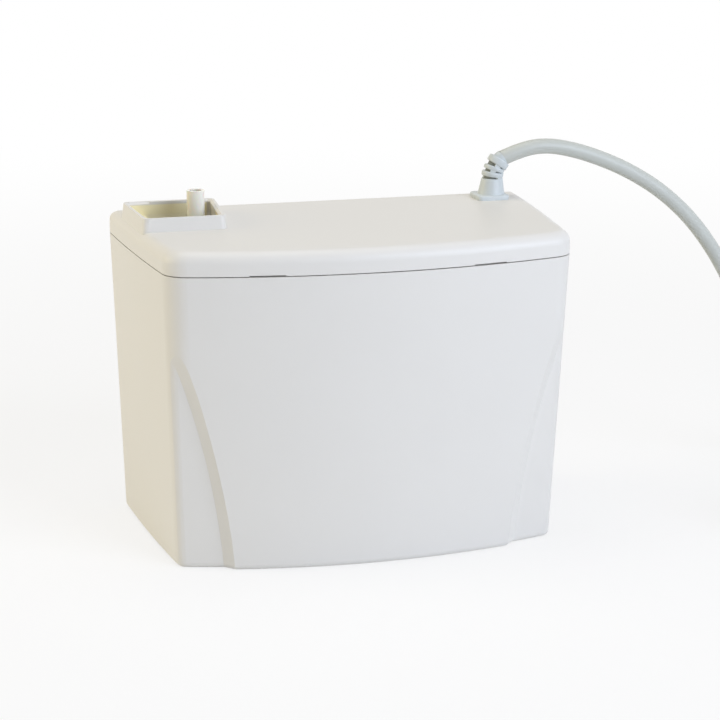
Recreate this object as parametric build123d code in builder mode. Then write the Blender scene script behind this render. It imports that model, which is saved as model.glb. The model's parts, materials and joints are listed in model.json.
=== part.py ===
"""Tank-type condensate pump: casing, shaded-pole motor, centrifugal pump, float switch, check valve and lead.

Millimetres, +Z up, front of the casing towards -Y, origin at the middle of the base.
"""

import os
from math import cos, pi, radians, sin, sqrt, tan

from build123d import *

os.makedirs("parts", exist_ok=True)

cut_margin = 1.0  # how far cutting tools reach past the faces they cut
screw_clearance = 0.15

# ---------------------------------------------------------------- casing
width = 180.0  # across the back corners at the seam
depth = 105.0  # from the flat back to the nose of the bowed front
seam_height = 121.3  # where the lid meets the tank
lid_rise = 9.7
lid_height = seam_height + lid_rise  # flat top of the lid
front_half_width = 82.55  # half the width where side and front would meet
front_sag = 11.9  # how far the front corners lie behind the nose
side_bow = 1.0  # how far each side bows out between its corners
base_inset_side = 4.3  # the tank narrows this much per side down to the base
base_inset_front = 5.6
front_corner_r = 11.0
rear_corner_r = 2.0
least_corner_r = 1.2
wall = 2.4
floor_thickness = 2.6
seam_gap = 0.4
rim_height = seam_height - seam_gap / 2
foot_band = 9.0  # width of the ring that the tank stands on
foot_recess = 0.8
base_edge_r = 2.5

# the two front corners are set back behind a sloped crease
panel_depth = 3.0
panel_corner_r = 5.0
panel_side_ease = 0.42  # keeps the panel's side just outside the casing's own side
crease_foot = 56.8  # half the width between the creases at the base
crease_lean = 0.115
crease_sweep = 0.00119
crease_y = -41.0
crease_run = 14.0
crease_levels = (-6.0, 55.0, seam_height + 6.0)  # heights the crease curve is drawn through
crease_reach = 30.0  # how far the corner cut runs past the side
crease_outer_x = width / 2 + crease_reach

# ---------------------------------------------------------------- lid
lid_wall = 2.2
lid_edge_r = 5.0
skirt_clearance = 0.4
skirt_thickness = 1.6
skirt_drop = 4.0
skirt_rise = 2.0
skirt_bond = 0.2  # how far the skirt's shelf reaches into the lid wall
pry_slot_x = 45.0
pry_slot_width = 14.0
pry_slot_height = 0.35
pry_slot_depth = 1.6

# four-sided inlet collar on the lid, wider at its back
collar_rise = 5.5
collar_rim = lid_height + collar_rise
collar_back_gap = 15.1  # from the back of the casing to the back of the collar
collar_length = 37.8
collar_back = depth / 2 - collar_back_gap
collar_front = collar_back - collar_length
collar_side_gap = 3.4  # from the widest part of the casing to the collar's back left corner
collar_front_width = 33.3
collar_back_width = 38.4
collar_left_taper = 2.3
collar_left_back = collar_side_gap - width / 2
collar_left_front = collar_left_back + collar_left_taper
collar_right_front = collar_left_front + collar_front_width
collar_right_back = collar_left_back + collar_back_width
collar_foot_growth = 0.9
collar_wall = 2.2
collar_corner_r = 2.5
collar_lip = 1.0
collar_plain_length = 16.0  # stretch of the back rim that has no bevelled lip
collar_plain_offset = 19.1  # middle of that stretch, from the collar's back left corner
collar_plain_x = collar_left_back + collar_plain_offset
plain_relief = 0.02
spout_setback = 4.9  # from the collar's front left corner to the spout's left side
spout_left = collar_left_front + spout_setback
spout_wall = 1.4
spout_drop = 20.0
spout_bottom = lid_height - spout_drop

# ---------------------------------------------------------------- deck and chute
deck_bottom = 62.0
deck_thickness = 3.0
deck_top = deck_bottom + deck_thickness
deck_clearance = 0.25
post_d = 8.0
rear_post_gap = (12.0, 6.7)  # from the casing's back corner
front_post_gap = (44.0, 17.0)  # from the middle and from the nose of the front
rear_post = (width / 2 - rear_post_gap[0], depth / 2 - rear_post_gap[1])
front_post = (front_post_gap[0], front_post_gap[1] - depth / 2)
post_spots = [(side * spot[0], spot[1]) for side in (-1, 1) for spot in (rear_post, front_post)]
post_pilot_d = 2.9
post_pilot_depth = 14.0
chute_clearance = 1.0
chute_wall = 1.6
chute_overlap = 3.0
chute_top = spout_bottom + chute_overlap
chute_flange = 7.0
chute_flange_thickness = 2.0
chute_flange_shift = 3.0  # its middle lies this far right of the chute's wall
small_screw_d = 3.2
small_head_d = 5.6
small_head_height = 2.0
deck_head_d = 6.4
deck_head_height = 2.2

wall_hole_d = 4.5
wall_hole_x = 60.0
wall_hole_drop = 17.3
wall_hole_height = seam_height - wall_hole_drop
wall_boss_d = 10.0
wall_boss_depth = 3.0

# ---------------------------------------------------------------- motor and pump
motor_x, motor_y = 10.0, -6.0
shaft_d = 5.0
bush_clearance = 0.03
stack_low, stack_high = 82.0, 98.0
stack_width = 56.0
pole_length = 40.0
arm_width = 10.0
arm_length = 24.0
yoke_depth = 10.0
rotor_d = 26.3
air_gap = 0.35
rotor_overhang = 2.0
end_ring_d = 23.0
end_ring_height = 1.5
bracket_thickness = 2.5
upper_bracket_rise = 8.0
lower_bracket_drop = 8.0
bracket_width = 13.0
bracket_leg = 8.0
bracket_corner_r = 2.0
lower_plate_depth = 44.0
bush_d = 11.0
bush_length = 6.4
bush_cup_wall = 1.6
motor_screw_d = 4.0
motor_screw_x = 22.0
mount_spot = (22.0, 16.0)
rubber_mount_d = 10.0
coil_length = 34.0
coil_d = 27.0
bobbin_wall = 1.2
bobbin_flange_d = 30.0
bobbin_flange_corner_r = 4.0
coil_corner_r = 5.0
coil_slimness = 4.0  # the winding is this much shallower than it is tall
cutout_size = (14.0, 6.5, 3.5)
cutout_corner_r = 1.5
ring_spot = (16.5, 14.0)  # shading rings, from the shaft, at opposite pole tips
ring_reach = 3.0
ring_bar_r = 1.0
ring_bar_clearance = 0.2
ring_strap = 1.2
motor_head_d = 7.0
motor_head_height = 2.6
nut_r = 3.9
nut_height = 3.2
nut_overrun = 0.4
mount_waist = 1.6
mount_waist_depth = 1.0

fan_low = 112.5
fan_height = 7.0
fan_r = 23.0
fan_hub_d = 12.0
fan_blades = 8
fan_disc_over = 0.5  # the disc reaches this far past the blades
blade_root = 0.8  # how deep each blade reaches into the hub
blade_thickness = 1.2
shaft_top = 120.5
shaft_chamfer = 0.5

housing_low = 10.0
housing_height = 16.0
housing_d = 44.0
cavity_d = 35.0
cavity_height = 10.0
column_d = 20.0
column_bore = 13.0
column_flange_d = 40.0
column_flange_thickness = 2.5
shaft_seal_bore = 6.6
housing_screw_r = 16.0
housing_screw_angles = (30, 150, 270)
column_window = (14.0, 5.0)
column_window_angles = (0, 60, 120)
outlet_offset = 13.0
outlet_z = housing_low + 6.0
outlet_length = 30.0
outlet_d = 8.0
outlet_bore = 5.5
cover_thickness = 2.5
cover_eye_d = 12.0
strainer_r = 15.0
strainer_pegs = 14
peg_d = 2.0
peg_gap = 0.6  # between the strainer pegs and the tank floor

impeller_d = 30.0
impeller_disc = 1.5
impeller_hub_d = 10.0
impeller_vanes = 6
vane_thickness = 1.4
vane_lean = 24
impeller_clearance = 1.3
impeller_height = 7.9
impeller_low = housing_low + impeller_clearance
impeller_high = impeller_low + impeller_height

# ---------------------------------------------------------------- discharge
pipe_side_gap = 7.8  # from the collar's front right corner
pipe_back_gap = 15.4  # from the back of the collar
pipe_x = collar_right_front - pipe_side_gap
pipe_y = collar_back - pipe_back_gap
pipe_d = 8.4
pipe_bore = 5.0
pipe_above_rim = 6.5
pipe_top = collar_rim + pipe_above_rim
spigot_d = 7.3
spigot_length = 18.2
valve_d = 17.0
valve_low = 8.0
valve_seat_z = 24.0
valve_chamber_d = 12.0
valve_chamber_top = 37.0
valve_seat_d = 6.5
ball_d = 9.0
ball_lift = 4.0
ball_gap = 0.3
valve_inlet_length = 12.0
valve_floor = 3.0
cap_socket_wall = 1.6
cap_rib = 2.0
cap_rib_clearance = 0.5
cap_over = 1.0
cap_thickness = 3.0
cap_socket_height = 8.0
hose_d = 11.5
hose_grip = 7.0
hose_lead = 4.0  # straight run beyond each spigot
clip_width = 4.0
clip_thickness = 1.0
clip_inset = 3.0
clip_ear = (1.4, 3.4)

# ---------------------------------------------------------------- float and switch
float_x, float_y = 60.0, -12.0
float_d = 32.0
float_low = 16.0
float_height = 22.0
float_travel = 8.0
stem_d = 5.0
guide_clearance = 0.25
guide_d = 11.0
guide_height = 9.0
guide_flange = 2.5
guide_flange_thickness = 1.5
float_edge_r = 3.0
clip_d = 9.0
clip_gap = 0.3
clip_sheet = 0.8
clip_slot = 3.2
switch_pivot_y = 24.0
switch_pivot_z = 94.5
switch_low = 96.0
switch_length = 28.0
switch_thickness = 10.0
switch_height = 16.0
switch_overhang = 2.0  # how far the switch reaches behind the lever's pivot
lever_gap = 0.3
lever_width = 5.0
lever_thickness = 0.5
lever_eye_d = 2.4
lever_pin_d = 1.2
lever_end = 5.0  # the lever reaches this far past the float stem
button_d = 2.6
button_arm = 5.0
button_height = 4.5
button_hole_depth = 4.5
button_clearance = 0.3
pin_clearance = 0.05
ear_thickness = 1.5
ear_gap = 0.4
blade_size = (0.8, 4.8, 6.0)
blade_pitch = 6.0
switch_screw_d = 2.4
switch_head_height = 1.8
switch_screw_spots = ((-9.0, 12.0), (9.0, 5.0))  # along the switch and up from its underside
lever_arm = switch_pivot_y - float_y
lever_rest = float_travel / lever_arm  # radians below level while the float is down
bracket_plate = 2.5
foot_length = 11.0
bracket_screw_x = 7.0
bracket_screw_ys = (-8.0, 6.0)

# ---------------------------------------------------------------- electrics
gland_gap = (16.6, 15.5)  # from the casing's back corner
gland_x = width / 2 - gland_gap[0]
gland_y = depth / 2 - gland_gap[1]
block_gap = (23.4, 13.0)  # from the cord's axis
block_x = gland_x - block_gap[0]
block_y = gland_y - block_gap[1]
block_length = 20.0
block_depth = 14.0
block_height = 14.0
block_ways = 3
lead_d = 1.8
way_height = 4.5  # lead holes, above the deck
way_hole_r = 1.5
way_hole_depth = 5.0
terminal_hole_r = 1.9
terminal_hole_depth = 6.0
terminal_seat_drop = 4.0
terminal_screw_d = 2.0
terminal_head_d = 3.2
terminal_head_height = 1.6
clamp_size = (14.0, 11.0, 13.0)
clamp_corner_r = 2.0
clamp_floor = 1.5
clamp_port = (8.0, 4.0)
tail_start = 7.5  # underside of the cord inside the clamp, above the deck
tail_rise = 4.0
drop_gap = 0.3
lead_pitch = 2.3
lead_start = 2.0
lead_slope = 0.5
lead_turn = 1.0
lead_grip = 3.0

# ---------------------------------------------------------------- cord gland
gland_flange = 14.2
gland_flange_height = 1.9
gland_flange_corner_r = 2.4
gland_flange_bevel = 0.6
gland_hole_r = 4.75
gland_neck_r = 4.7
gland_nut_r = 6.2
gland_nut_height = 4.0
barrel_foot_r = 5.8
barrel_head_r = 4.6
barrel_lean = 0.4
barrel_rise = 8.6
barrel_top = lid_height + barrel_rise
bend_r = 10.2
bend_turn = 57.0
gland_core_r = 3.6
gland_rings = ((9.5, 2.1, 4.7), (23.5, 1.9, 4.5), (41.5, 3.0, 4.7))  # bend angle, length, radius

# ---------------------------------------------------------------- power cord
cord_d = 6.6
coil_x, coil_y = 262.0, 2.0
coil_mid_r = 36.6
coil_section = 3 * cord_d
coil_stack = 12.4
coil_low = 0.1
plug_axis = (-66.0, 18.6)  # Y and Z of the plug's axis, which runs along X
plug_face_x = 189.0
plug_d = 37.0
plug_grip_d = 20.0
plug_length = 38.0
plug_rim = 15.0
boot_length = 19.0
pin_d = 4.8
pin_length = 19.0
pin_spacing = 19.0
pin_seat = 9.0
pin_chamfer = 0.9
plug_step = 1.2
plug_waist_at = 0.55
plug_waist_r = plug_grip_d / 2 + 2.5
plug_neck_r = plug_grip_d / 2 - 1.5
earth_slot = (9.0, 5.0)
earth_hole_r = 2.5
contact_size = (5.0, 1.0)
contact_inset = 2.0
boot_root_r = plug_grip_d / 2 - 2.5
boot_tip_over = 1.0
boot_groove_first = 5.0
boot_groove_pitch = 4.5
boot_groove_width = 1.4
boot_groove_over = 0.6


def casing_outline(height, inset=0.0, front_r=front_corner_r, setback=0.0, ease=0.0, square=False):
    """Plan of the casing at a height: flat back, bowed sides and a bowed front."""
    draft = 1 - height / seam_height
    back_x = width / 2 - base_inset_side * draft - inset + ease
    front_x = front_half_width - base_inset_side * draft - inset + ease
    back_y = depth / 2 - inset
    nose_y = -depth / 2 + base_inset_front * draft + inset + setback
    corner_y = nose_y + front_sag
    bow_x = (back_x + front_x) / 2 + side_bow
    bow_y = (back_y + corner_y) / 2
    with BuildSketch(Plane.XY.offset(height)) as plan:
        with BuildLine():
            Line((-back_x, back_y), (back_x, back_y))
            ThreePointArc((back_x, back_y), (bow_x, bow_y), (front_x, corner_y))
            ThreePointArc((front_x, corner_y), (0, nose_y), (-front_x, corner_y))
            ThreePointArc((-front_x, corner_y), (-bow_x, bow_y), (-back_x, back_y))
        make_face()
        fillet(plan.vertices().sort_by(Axis.Y)[:2], max(front_r - inset, least_corner_r))
        if not square:
            fillet(plan.vertices().sort_by(Axis.Y)[-2:], max(rear_corner_r - inset, least_corner_r))
    return plan.sketch


def crease_x(height):
    """Half the width between the creases at a height."""
    return crease_foot + crease_lean * height + crease_sweep * height**2


def crease_face(inset, run):
    """Region outside the crease on a plane that lies `run` behind its top edge."""
    low, middle, high = crease_levels
    shift = run - inset * (sqrt(2) - 1)
    with BuildSketch(Plane.XZ.offset(-(crease_y + inset + run))) as region:
        with BuildLine():
            ThreePointArc(
                (crease_x(low) + shift, low),
                (crease_x(middle) + shift, middle),
                (crease_x(high) + shift, high),
            )
            Polyline(
                (crease_x(high) + shift, high),
                (crease_outer_x, high),
                (crease_outer_x, low),
                (crease_x(low) + shift, low),
            )
        make_face()
    return region.sketch


def corner_scoop(low, high, inset):
    """Space that sets one front corner panel back, on the +X side."""
    with BuildPart() as panel:
        sections = [
            casing_outline(level, inset, panel_corner_r, panel_depth, panel_side_ease)
            for level in (low - cut_margin, high + cut_margin)
        ]
        loft(sections, ruled=True)
    with BuildPart() as scoop:
        loft([crease_face(inset, 0.0), crease_face(inset, crease_run)], ruled=True)
        extrude(crease_face(inset, 0.0), amount=depth / 2)
        add(panel.part, mode=Mode.SUBTRACT)
    return scoop.part


def casing_form(low, high, inset):
    """Drafted casing solid between two heights, with both set-back corner panels."""
    scoop = corner_scoop(low, high, inset)
    with BuildPart() as form:
        loft([casing_outline(low, inset), casing_outline(high, inset)], ruled=True)
        add(scoop, mode=Mode.SUBTRACT)
        add(scoop.mirror(Plane.YZ), mode=Mode.SUBTRACT)
    return form.part


def inlet_plan(height, inset, left_front, left_back):
    """Plan of the inlet collar or its spout at a height."""
    growth = collar_foot_growth * (collar_rim - height) / (collar_rim - lid_height)
    growth = min(growth, collar_foot_growth)
    front, back = collar_front - growth + inset, collar_back + growth - inset
    with BuildSketch(Plane.XY.offset(height)) as plan:
        with BuildLine():
            Polyline(
                (left_front - growth + inset, front),
                (collar_right_front + growth - inset, front),
                (collar_right_back + growth - inset, back),
                (left_back - growth + inset, back),
                close=True,
            )
        make_face()
        fillet(plan.vertices(), max(collar_corner_r - inset, least_corner_r))
    return plan.sketch


def tube_along(points, diameter):
    """Solid rod along a route of straight runs joined by tangent arcs."""
    route = [Vector(*point) for point in points]
    radii = []
    for before, corner, after in zip(route, route[1:], route[2:]):
        turn = radians((corner - before).get_angle(after - corner))
        shorter = min((corner - before).length, (after - corner).length)
        radii.append(0.45 * shorter / tan(turn / 2))
    with BuildPart() as rod:
        with BuildLine() as path:
            FilletPolyline(*route, radius=radii)
        with BuildSketch(Plane(origin=route[0], z_dir=route[1] - route[0])):
            Circle(diameter / 2)
        sweep(path=path.wire())
    return rod.part, path.wire().length, radii


def pan_screws(spots, seat_z, shank_d, length, head_d, head_height):
    """Upright screws whose heads sit on seat_z, one solid at each spot."""
    with BuildPart() as screws:
        with BuildSketch(Plane.XY.offset(seat_z)):
            with Locations(*spots):
                Circle(head_d / 2)
        extrude(amount=head_height)
        with BuildSketch(Plane.XY.offset(seat_z)):
            with Locations(*spots):
                Circle(shank_d / 2)
        extrude(amount=-length)
        slot_depth = head_height / 2
        with BuildSketch(Plane.XY.offset(seat_z + head_height - slot_depth)):
            with Locations(*spots):
                Rectangle(head_d * 0.7, head_d * 0.16)
                Rectangle(head_d * 0.16, head_d * 0.7)
        extrude(amount=slot_depth, mode=Mode.SUBTRACT)
    return screws.part


def save(part, name):
    """Label a finished piece and write it."""
    part.label = name
    export_step(part, f"parts/{name}.step")


# ================================================================ casing pieces
with BuildPart() as tank:
    add(casing_form(0.0, rim_height, 0.0))
    fillet(tank.edges().group_by(Axis.Z)[0], base_edge_r)
    add(casing_form(floor_thickness, rim_height + 5, wall), mode=Mode.SUBTRACT)
    extrude(casing_outline(0.0, foot_band), amount=foot_recess, mode=Mode.SUBTRACT)
    with BuildSketch(Plane.XY.offset(floor_thickness)):
        with Locations(*post_spots):
            Circle(post_d / 2)
    extrude(amount=deck_bottom - floor_thickness)
    with Locations(*[(x, y, deck_bottom) for x, y in post_spots]):
        Hole(post_pilot_d / 2, depth=post_pilot_depth)
    boss_face = depth / 2 - wall
    with BuildSketch(Plane.XZ.offset(-boss_face)):
        with Locations((-wall_hole_x, wall_hole_height), (wall_hole_x, wall_hole_height)):
            Circle(wall_boss_d / 2)
    extrude(amount=wall_boss_depth)
    with BuildSketch(Plane.XZ.offset(-depth / 2)):
        with Locations((-wall_hole_x, wall_hole_height), (wall_hole_x, wall_hole_height)):
            Circle(wall_hole_d / 2)
    extrude(amount=wall + wall_boss_depth, mode=Mode.SUBTRACT)
save(tank.part, "tank")

lid_edge = seam_height + seam_gap / 2
lid_under = lid_height - lid_wall
skirt_inset = wall + skirt_clearance
with BuildPart() as lid:
    # the top edge is rounded all along the flat back before the two rear corners are
    to_edge = Location((0, 0, lid_edge - seam_height))
    extrude(casing_outline(seam_height, square=True).moved(to_edge), amount=lid_height - lid_edge)
    fillet(lid.edges().group_by(Axis.Z)[-1], lid_edge_r)
    seam_plan = casing_outline(seam_height).moved(to_edge)
    extrude(seam_plan, amount=lid_height - lid_edge, mode=Mode.INTERSECT)
    inner = casing_outline(seam_height, lid_wall).moved(to_edge)
    extrude(inner, amount=lid_under - lid_edge, mode=Mode.SUBTRACT)
    skirt_low = lid_edge - skirt_drop
    skirt_plan = casing_outline(seam_height, skirt_inset)
    extrude(
        skirt_plan.moved(Location((0, 0, skirt_low - seam_height))),
        amount=skirt_drop + skirt_rise,
    )
    ring_plan = casing_outline(seam_height, lid_wall - skirt_bond)
    extrude(ring_plan.moved(to_edge), amount=skirt_rise)
    core_plan = casing_outline(seam_height, skirt_inset + skirt_thickness)
    extrude(
        core_plan.moved(Location((0, 0, skirt_low - seam_height))),
        amount=skirt_drop + skirt_rise,
        mode=Mode.SUBTRACT,
    )
    # inlet collar and spout
    foot_z = lid_height - lid_edge_r / 2
    collar_left = (collar_left_front, collar_left_back)
    spout_side = (spout_left + collar_foot_growth, spout_left + collar_foot_growth)
    loft([inlet_plan(foot_z, 0, *collar_left), inlet_plan(collar_rim, 0, *collar_left)], ruled=True)
    spout_inset = collar_wall - spout_wall
    extrude(inlet_plan(spout_bottom, spout_inset, *spout_side), amount=lid_height - spout_bottom)
    collar_cut = [
        inlet_plan(lid_height - cut_margin / 2, collar_wall, *collar_left),
        inlet_plan(collar_rim + cut_margin, collar_wall, *collar_left),
    ]
    loft(collar_cut, ruled=True, mode=Mode.SUBTRACT)
    extrude(
        inlet_plan(spout_bottom, collar_wall, *spout_side),
        amount=lid_height - spout_bottom,
        mode=Mode.SUBTRACT,
    )
    rim_loops = lid.faces().sort_by(Axis.Z)[-1].inner_wires()
    chamfer(rim_loops[0].edges(), collar_lip)
    plain_y = collar_back - collar_wall / 2
    with BuildSketch(Plane.XY.offset(collar_rim - collar_lip)):
        with Locations((collar_plain_x, plain_y)):
            Rectangle(collar_plain_length, collar_wall - plain_relief)
    extrude(amount=collar_lip)
    # cord gland hole and the two slots that the lid is prised up by
    with Locations((gland_x, gland_y, lid_height)):
        Hole(gland_hole_r, depth=lid_wall + cut_margin)
    slot_y = -depth / 2 + front_sag * (pry_slot_x / front_half_width) ** 2
    with BuildSketch(Plane.XY.offset(lid_edge)):
        with Locations((-pry_slot_x, slot_y), (pry_slot_x, slot_y)):
            Rectangle(pry_slot_width, 2 * pry_slot_depth + 4 * cut_margin)
    extrude(amount=pry_slot_height, mode=Mode.SUBTRACT)
save(lid.part, "lid")

# ================================================================ deck and inlet chute
housing_screws_at = [
    (motor_x + housing_screw_r * cos(radians(a)), motor_y + housing_screw_r * sin(radians(a)))
    for a in housing_screw_angles
]
screw_hole_d = small_screw_d + 2 * screw_clearance
chute_inset = collar_wall - spout_wall - chute_clearance
with BuildPart() as deck:
    add(casing_form(deck_bottom, deck_top, wall + deck_clearance))
    extrude(
        inlet_plan(deck_bottom - cut_margin, chute_inset, *spout_side),
        amount=deck_thickness + 2 * cut_margin,
        mode=Mode.SUBTRACT,
    )
    with Locations((motor_x, motor_y, deck_top)):
        Hole(column_bore / 2)
    with Locations((float_x, float_y, deck_top)):
        Hole(guide_d / 2)
    with Locations(*[(x, y, deck_top) for x, y in post_spots + housing_screws_at]):
        Hole(screw_hole_d / 2)
save(deck.part, "deck")

with BuildPart() as inlet_chute:
    outer_plan = inlet_plan(deck_top, chute_inset - chute_wall, *spout_side)
    extrude(outer_plan, amount=chute_top - deck_top)
    with BuildSketch(Plane.XY.offset(deck_top)):
        with Locations((collar_right_front + chute_flange_shift, (collar_front + collar_back) / 2)):
            Rectangle(2 * chute_flange, collar_back - collar_front)
    extrude(amount=chute_flange_thickness)
    extrude(
        inlet_plan(deck_top, chute_inset, *spout_side),
        amount=chute_top - deck_top,
        mode=Mode.SUBTRACT,
    )
save(inlet_chute.part, "inlet_chute")

save(
    pan_screws(
        post_spots,
        deck_top,
        small_screw_d,
        post_pilot_depth - 1.0,
        deck_head_d,
        deck_head_height,
    ),
    "deck_screws",
)

# ================================================================ pump
with BuildPart() as pump_housing:
    with BuildSketch(Plane.XY.offset(housing_low)):
        with Locations((motor_x, motor_y)):
            Circle(housing_d / 2)
    extrude(amount=housing_height)
    with BuildSketch(Plane.XY.offset(housing_low + housing_height)):
        with Locations((motor_x, motor_y)):
            Circle(column_d / 2)
    extrude(amount=deck_bottom - housing_low - housing_height)
    with BuildSketch(Plane.XY.offset(deck_bottom)):
        with Locations((motor_x, motor_y)):
            Circle(column_flange_d / 2)
    extrude(amount=-column_flange_thickness)
    with BuildSketch(Plane.YZ.offset(motor_x)):
        with Locations((motor_y + outlet_offset, outlet_z)):
            Circle(outlet_d / 2)
    extrude(amount=-outlet_length)
    with BuildSketch(Plane.XY.offset(deck_bottom)):
        with Locations((motor_x, motor_y)):
            Circle(column_bore / 2)
    extrude(amount=-(deck_bottom - housing_low - housing_height), mode=Mode.SUBTRACT)
    with BuildSketch(Plane.XY.offset(housing_low)):
        with Locations((motor_x, motor_y)):
            Circle(cavity_d / 2)
    extrude(amount=cavity_height, mode=Mode.SUBTRACT)
    with BuildSketch(Plane.XY.offset(housing_low)):
        with Locations((motor_x, motor_y)):
            Circle(shaft_seal_bore / 2)
    extrude(amount=housing_height, mode=Mode.SUBTRACT)
    with BuildSketch(Plane.YZ.offset(motor_x)):
        with Locations((motor_y + outlet_offset, outlet_z)):
            Circle(outlet_bore / 2)
    extrude(amount=-outlet_length, mode=Mode.SUBTRACT)
    window_mid = (deck_bottom + housing_low + housing_height) / 2
    for angle in column_window_angles:
        slot_plane = Plane(
            origin=(motor_x, motor_y, window_mid),
            z_dir=(cos(radians(angle)), sin(radians(angle)), 0),
        )
        with BuildSketch(slot_plane):
            SlotCenterToCenter(*column_window, rotation=90)
        extrude(amount=column_d, both=True, mode=Mode.SUBTRACT)
    with Locations(*[(x, y, deck_bottom) for x, y in housing_screws_at]):
        Hole(small_screw_d / 2, depth=column_flange_thickness)
save(pump_housing.part, "pump_housing")

save(
    pan_screws(
        housing_screws_at,
        deck_top,
        small_screw_d,
        deck_thickness + column_flange_thickness,
        small_head_d,
        small_head_height,
    ),
    "housing_screws",
)

with BuildPart() as intake_cover:
    with BuildSketch(Plane.XY.offset(housing_low)):
        with Locations((motor_x, motor_y)):
            Circle(housing_d / 2)
            Circle(cover_eye_d / 2, mode=Mode.SUBTRACT)
    extrude(amount=-cover_thickness)
    peg_length = housing_low - cover_thickness - floor_thickness - peg_gap
    with BuildSketch(Plane.XY.offset(housing_low - cover_thickness)):
        with Locations((motor_x, motor_y)):
            with PolarLocations(strainer_r, strainer_pegs):
                Circle(peg_d / 2)
    extrude(amount=-peg_length)
save(intake_cover.part, "intake_cover")

with BuildPart() as impeller:
    with BuildSketch(Plane.XY.offset(impeller_high)):
        with Locations((motor_x, motor_y)):
            Circle(impeller_d / 2)
    extrude(amount=-impeller_disc)
    with BuildSketch(Plane.XY.offset(impeller_low)):
        with Locations((motor_x, motor_y)):
            Circle(impeller_hub_d / 2)
            with PolarLocations(impeller_d / 4 + impeller_hub_d / 8, impeller_vanes):
                Rectangle(impeller_d / 2 - impeller_hub_d / 4, vane_thickness, rotation=vane_lean)
    extrude(amount=impeller_high - impeller_low)
    with BuildSketch(Plane.XY.offset(impeller_low)):
        with Locations((motor_x, motor_y)):
            Circle(impeller_d)
            Circle(impeller_d / 2, mode=Mode.SUBTRACT)
    extrude(amount=impeller_high - impeller_low, mode=Mode.SUBTRACT)
    with BuildSketch(Plane.XY.offset(impeller_low)):
        with Locations((motor_x, motor_y)):
            Circle(shaft_d / 2)
    extrude(amount=impeller_high - impeller_low, mode=Mode.SUBTRACT)
save(impeller.part, "impeller")

# ================================================================ motor
with BuildPart() as motor_shaft:
    with BuildSketch(Plane.XY.offset(impeller_low)):
        with Locations((motor_x, motor_y)):
            Circle(shaft_d / 2)
    extrude(amount=shaft_top - impeller_low)
    chamfer(motor_shaft.edges().group_by(Axis.Z)[-1], shaft_chamfer)
save(motor_shaft.part, "motor_shaft")

yoke_y = motor_y + pole_length / 2 + arm_length - yoke_depth / 2
motor_screws_at = [(motor_x - motor_screw_x, motor_y), (motor_x + motor_screw_x, motor_y)]
ring_spots = [
    (motor_x - ring_spot[0], motor_y + ring_spot[1]),
    (motor_x + ring_spot[0], motor_y - ring_spot[1]),
]
with BuildPart() as stator_core:
    with BuildSketch(Plane.XY.offset(stack_low)):
        with Locations((motor_x, motor_y)):
            Rectangle(stack_width, pole_length)
        with Locations((motor_x, motor_y + (pole_length + arm_length) / 2)):
            Rectangle(stack_width, arm_length)
        window_y = motor_y + pole_length / 2 + (arm_length - yoke_depth) / 2
        with Locations((motor_x, window_y)):
            Rectangle(
                stack_width - 2 * arm_width,
                arm_length - yoke_depth,
                mode=Mode.SUBTRACT,
            )
        with Locations((motor_x, motor_y)):
            Circle(rotor_d / 2 + air_gap, mode=Mode.SUBTRACT)
        with Locations(*motor_screws_at):
            Circle(motor_screw_d / 2 + screw_clearance, mode=Mode.SUBTRACT)
        for spot in ring_spots:
            with Locations((spot[0] - ring_reach, spot[1]), (spot[0] + ring_reach, spot[1])):
                Circle(ring_bar_r + ring_bar_clearance, mode=Mode.SUBTRACT)
    extrude(amount=stack_high - stack_low)
save(stator_core.part, "stator_core")

with BuildPart() as shading_rings:
    for spot in ring_spots:
        with BuildSketch(Plane.XY.offset(stack_low - ring_strap)):
            with Locations((spot[0] - ring_reach, spot[1]), (spot[0] + ring_reach, spot[1])):
                Circle(ring_bar_r)
        extrude(amount=stack_high - stack_low + 2 * ring_strap)
        for level in (stack_low - ring_strap, stack_high):
            with BuildSketch(Plane.XY.offset(level)):
                with Locations(spot):
                    SlotCenterToCenter(2 * ring_reach, 2 * ring_bar_r)
            extrude(amount=ring_strap)
save(shading_rings.part, "shading_rings")

stack_mid = (stack_low + stack_high) / 2
stack_height = stack_high - stack_low
with BuildPart() as coil_bobbin:
    with BuildSketch(Plane.YZ.offset(motor_x - coil_length / 2)):
        with Locations((yoke_y, stack_mid)):
            Rectangle(yoke_depth + 2 * bobbin_wall, stack_height + 2 * bobbin_wall)
    extrude(amount=coil_length)
    for side in (-1, 1):
        flange_x = motor_x + side * (coil_length / 2 - bobbin_wall / 2)
        with BuildSketch(Plane.YZ.offset(flange_x)):
            with Locations((yoke_y, stack_mid)):
                RectangleRounded(
                    bobbin_flange_d - coil_slimness,
                    bobbin_flange_d,
                    bobbin_flange_corner_r,
                )
        extrude(amount=bobbin_wall / 2, both=True)
    with BuildSketch(Plane.YZ.offset(motor_x - coil_length / 2)):
        with Locations((yoke_y, stack_mid)):
            Rectangle(yoke_depth, stack_height)
    extrude(amount=coil_length, mode=Mode.SUBTRACT)
save(coil_bobbin.part, "coil_bobbin")

winding_length = coil_length - 2 * bobbin_wall
with BuildPart() as coil_winding:
    with BuildSketch(Plane.YZ.offset(motor_x - winding_length / 2)):
        with Locations((yoke_y, stack_mid)):
            RectangleRounded(coil_d - coil_slimness, coil_d, coil_corner_r)
            Rectangle(
                yoke_depth + 2 * bobbin_wall,
                stack_height + 2 * bobbin_wall,
                mode=Mode.SUBTRACT,
            )
    extrude(amount=winding_length)
save(coil_winding.part, "coil_winding")

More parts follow.
